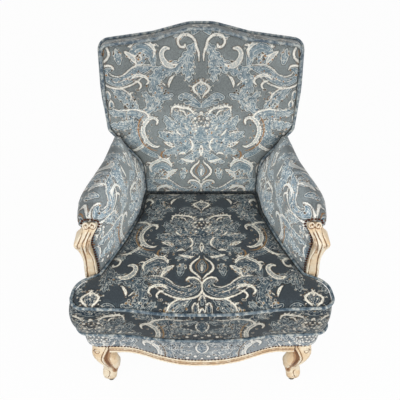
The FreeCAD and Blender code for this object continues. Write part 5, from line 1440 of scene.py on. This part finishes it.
cushion = cushion_cover()
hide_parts("cushion_core", "cushion_top_panel", "cushion_bottom_panel", "cushion_boxing")
back = back_face()
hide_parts("back_pad", "back_inside_cover")
right_arm = arm_cover("right")
left_arm = mirrored(right_arm, "left_arm_cover")
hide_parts("right_arm_pad", "right_arm_inside_cover")
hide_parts("left_arm_pad", "left_arm_inside_cover")
band = front_band()
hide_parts("front_band")
deck = deck_lining()
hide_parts("seat_deck_pad", "seat_deck_cover")
border = back_border()
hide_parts("back_boxing")
outside = outside_back()
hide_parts("back_outside_panel")
right_outside = arm_outside("right")
left_outside = mirrored(right_outside, "left_arm_outside")
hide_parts("right_arm_outside_panel")
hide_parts("left_arm_outside_panel")


support = arm_support()
leg = front_leg()
rail = apron()
roll = arm_front_roll()
nailing = arm_nails()
left_support = mirrored(support, "left_arm_support")
left_leg = mirrored(leg, "left_carved_leg")
left_roll = mirrored(roll, "left_arm_front_roll")
left_nailing = mirrored(nailing, "left_arm_nailing")
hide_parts("right_arm_post")
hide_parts("left_arm_post")
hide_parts("right_front_leg")
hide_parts("left_front_leg")
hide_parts("front_seat_rail")
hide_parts("right_arm_nails")
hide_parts("left_arm_nails")
wood = (support, left_support, leg, left_leg, rail)
for piece in wood + (roll, left_roll, nailing, left_nailing):
    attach(piece, "frame")

# --------------------------------------------------------------- the cloth laid on each piece


def dress(piece, paint):
    piece.data.materials.clear()
    piece.data.materials.append(paint)


def millimetres(piece):
    return (points_of(piece.data) / MM).T


# Where the repeat lies on each piece, in millimetres.
SEAT_START, EAR_START, EAR_HEIGHT = 306, 60, 120
ARM_START, ARM_HEIGHT = 110, 265
BORDER_START = 330
OUTSIDE_BACK_START = 60
OUTSIDE_ARM_START, OUTSIDE_ARM_HEIGHT = 20, 40
BAND_HALF, BAND_FRONT, BAND_HEIGHT = 360, -330, 420


def weave_cushion():
    """The repeat lies centred on the seat and runs on down the border."""
    x, y, z = millimetres(cushion)
    normal = normals_of(cushion.data)
    drop = np.clip(SEAM_HIGH / MM - z, 0, None)
    side = (np.abs(normal[:, 2]) < 0.8) & (z < SEAM_HIGH / MM)
    sideways = side & (np.abs(normal[:, 0]) > np.abs(normal[:, 1]))
    lengthwise = side & ~sideways
    across = np.where(sideways, y + EAR_START, x)
    up = np.where(sideways, EAR_HEIGHT - drop, y + SEAT_START)
    up = np.where(lengthwise, y + SEAT_START - drop * 1.1, up)
    # Painted shade: the cushion's border is painted darker below its top seam, the faces towards the front
    # and back more than those towards the sides, and the cloth darker again in the crevices by the arms and
    # the back.
    shade = np.where(side, np.where(sideways, -0.2, -0.42), 0.0) * np.clip(drop / 14, 0, 1)
    weave(cushion, across, up, painted_light_and_shade=shade - painted_crevice_shade(cushion, right_arm, left_arm, back))


def weave_arm(piece):
    """The repeat stands upright on the inner face and is carried over the roll."""
    x, y, z = millimetres(piece)
    x = np.abs(x)
    stations = np.arange(y.min(), y.max() + 1, 12)
    middle, half, top = [], [], []
    for station in stations:
        near = np.abs(y - station) < 12
        high = z[near].max()
        upper = near & (z > high - 45)
        middle.append((x[upper].min() + x[upper].max()) / 2)
        half.append((x[upper].max() - x[upper].min()) / 2)
        top.append(high)
    middle, half, top = (np.interp(y, stations, values) for values in (middle, half, top))
    axis = top - half
    angle = np.arctan2(z - axis, middle - x)
    over = np.where(angle < 0, angle + 2 * math.pi, angle)
    up = np.where(z < axis, np.where(x < middle, z, axis + math.pi * half + (axis - z)), axis + over * half)
    inwards = np.clip(-normals_of(piece.data)[:, 0] * np.sign(points_of(piece.data)[:, 0]) * 1.6, 0, 1)
    # Painted light and shade: the inner face is painted lighter and the rest a little darker, and darker
    # again in the crevices by the cushion, the back and its border.
    weave(piece, y - ARM_START, up - ARM_HEIGHT,
          painted_light_and_shade=0.78 * inwards - 0.10 - painted_crevice_shade(piece, cushion, back, border))


def weave_border():
    x, up, depth = (values / MM for values in on_back(points_of(border.data)))
    angle = np.arctan2(up - BORDER_CENTRE, x) - math.pi / 2
    angle = (angle + math.pi) % (2 * math.pi) - math.pi
    # Painted shade: the border is painted a little darker, and darker again in the crevices by the arms.
    weave(border, np.hypot(x, up - BORDER_CENTRE) * angle, BORDER_START + depth,
          painted_light_and_shade=-0.10 - painted_crevice_shade(border, right_arm, left_arm))


def weave_back():
    x, up, _ = on_back(points_of(back.data))
    # Painted light: the back's cloth is painted lighter near the bottom, fading out between 75 mm and 375 mm
    # up; painted shade in the crevices by the cushion and the arms.
    weave(back, x / MM, up / MM,
          painted_light_and_shade=0.78 * np.clip(1.25 - up / 0.30, 0, 1) - painted_crevice_shade(back, cushion, right_arm, left_arm))


def weave_band():
    """The cloth runs along the front and on round both corners."""
    x, y, z = millimetres(band)
    normal_x, normal_y, _ = np.abs(normals_of(band.data)).T
    round_corner = np.sign(x) * (BAND_HALF + y - BAND_FRONT)
    # Painted light and shade: the band a little lighter, and darker in the crevice under the cushion.
    weave(band, np.where(normal_x > normal_y, round_corner, x), z - BAND_HEIGHT,
          painted_light_and_shade=0.04 - painted_crevice_shade(band, cushion))


def weave_outsides():
    x, up, _ = on_back(points_of(outside.data))
    weave(outside, x / MM, up / MM + OUTSIDE_BACK_START)
    for piece in (right_outside, left_outside):
        _, y, z = millimetres(piece)
        weave(piece, y - OUTSIDE_ARM_START, z - OUTSIDE_ARM_HEIGHT)


def weave_rolls():
    for piece in (roll, left_roll):
        _, y, z = millimetres(piece)
        weave(piece, y - ARM_START, z - ARM_HEIGHT)


weave_cushion()
weave_back()
weave_arm(right_arm)
weave_arm(left_arm)
weave_border()
weave_outsides()
weave_band()
weave_rolls()

dress(cushion, seat_cloth)
for piece in (back, border, outside):
    dress(piece, back_cloth)
for piece in (right_arm, left_arm, right_outside, left_outside, roll, left_roll):
    dress(piece, arm_cloth)
dress(band, band_cloth)
for piece in wood:
    dress(piece, carved_paint)
for piece in (nailing, left_nailing):
    dress(piece, bronze)
dress(deck, lining)

finishes = {
    plain_paint: ("right_back_post", "left_back_post"),
    beech: ("right_side_rail", "left_side_rail", "rear_seat_rail",
            "back_crest_rail", "back_lower_rail", "right_arm_rail", "left_arm_rail", "right_arm_tack_rail",
            "left_arm_tack_rail", "corner_blocks", "frame_dowels"),
    piping: ("back_front_welt", "back_rear_welt"),
    seat_piping: ("cushion_top_welt", "cushion_bottom_welt"),
    jute: ("back_hessian", "seat_hessian", "right_arm_hessian", "left_arm_hessian"),
    web: ("back_webbing",),
    dust_cloth: ("dust_cover",),
    bronze: ("rail_nails",),
    spring: ("seat_springs", "spring_clips", "corner_screws"),
    glide_metal: ("foot_glides",),
}
for paint, names in finishes.items():
    for name in names:
        for slot in nodes[name].material_slots:
            slot.material = paint

for piece in (back, right_arm, left_arm, band, deck, border, outside, right_outside, left_outside):
    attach(piece, "frame")
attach(cushion, "seat_cushion")

# ------------------------------------------------------------------- floor, light, camera


FLOOR_HALF = 6
FLOOR_WHITE = 0.96  # how much plain white there is in what the camera sees of the floor
LAMPS = (("key", (-2.2, -2.6, 1.7), 46, 2.0), ("fill", (2.4, -2.5, 1.5), 50, 2.0),
         ("top", (0.2, 0.6, 3.4), 6, 2.6))  # place, watts, width
LAMPS_AIM = (0, 0, 0.5)
CAMERA_PLACE = (-0.0117, -1.3025, 1.6772)
CAMERA_DOWN, CAMERA_TURN = 40.887, -0.1906  # degrees below the horizon, and to the left
LENS, SENSOR, SHIFT = 48.38, 36.0, (0.0021, 0.0121)


def emptied(owner):
    owner.use_nodes = True
    owner.node_tree.nodes.clear()
    return owner.node_tree


def shown_apart(tree, lighting, shown, out, share=1.0):
    """The camera sees one shader, by a share, and the rest of the scene is lit by the other."""
    path = tree.nodes.new("ShaderNodeLightPath")
    part = tree.nodes.new("ShaderNodeMath")
    part.operation = "MULTIPLY"
    part.inputs[1].default_value = share
    tree.links.new(path.outputs["Is Camera Ray"], part.inputs[0])
    mix = tree.nodes.new("ShaderNodeMixShader")
    for socket, made in zip(mix.inputs, (part, lighting, shown)):
        tree.links.new(made.outputs[0], socket)
    tree.links.new(mix.outputs[0], out.inputs[0])


def lay_floor():
    corners = [(-FLOOR_HALF, -FLOOR_HALF, 0), (FLOOR_HALF, -FLOOR_HALF, 0), (FLOOR_HALF, FLOOR_HALF, 0),
               (-FLOOR_HALF, FLOOR_HALF, 0)]
    mesh = bpy.data.meshes.new("floor")
    mesh.from_pydata(corners, [], [(0, 1, 2, 3)])
    floor = bpy.data.objects.new("floor", mesh)
    scene.collection.objects.link(floor)
    paint = bpy.data.materials.new("floor_white")
    tree = emptied(paint)
    out = tree.nodes.new("ShaderNodeOutputMaterial")
    matte = tree.nodes.new("ShaderNodeBsdfDiffuse")
    matte.inputs["Color"].default_value = (0.85, 0.85, 0.85, 1)
    shown_apart(tree, matte, tree.nodes.new("ShaderNodeEmission"), out, FLOOR_WHITE)
    floor.data.materials.append(paint)


def surroundings():
    """A soft light from all round, which the camera sees as plain white."""
    scene.world = bpy.data.worlds.new("studio")
    tree = emptied(scene.world)
    out = tree.nodes.new("ShaderNodeOutputWorld")
    soft, white = (tree.nodes.new("ShaderNodeBackground") for _ in range(2))
    for light, strength in ((soft, 0.50), (white, 1.0)):
        light.inputs["Color"].default_value = (1, 1, 1, 1)
        light.inputs["Strength"].default_value = strength
    shown_apart(tree, soft, white, out)


def lamps():
    for name, place, watts, width in LAMPS:
        lamp = bpy.data.lights.new(name, "AREA")
        lamp.energy = watts
        lamp.size = width
        holder = bpy.data.objects.new(name, lamp)
        holder.location = place
        aim = Vector(LAMPS_AIM) - Vector(place)
        holder.rotation_euler = aim.to_track_quat("-Z", "Y").to_euler()
        scene.collection.objects.link(holder)


def camera():
    data = bpy.data.cameras.new("camera")
    data.sensor_width = SENSOR
    data.lens = LENS
    data.shift_x, data.shift_y = SHIFT
    holder = bpy.data.objects.new("camera", data)
    holder.location = CAMERA_PLACE
    holder.rotation_euler = (math.radians(90 - CAMERA_DOWN), 0.0, math.radians(CAMERA_TURN))
    scene.collection.objects.link(holder)
    scene.camera = holder


lay_floor()
surroundings()
lamps()
camera()
scene.view_settings.view_transform = "Standard"
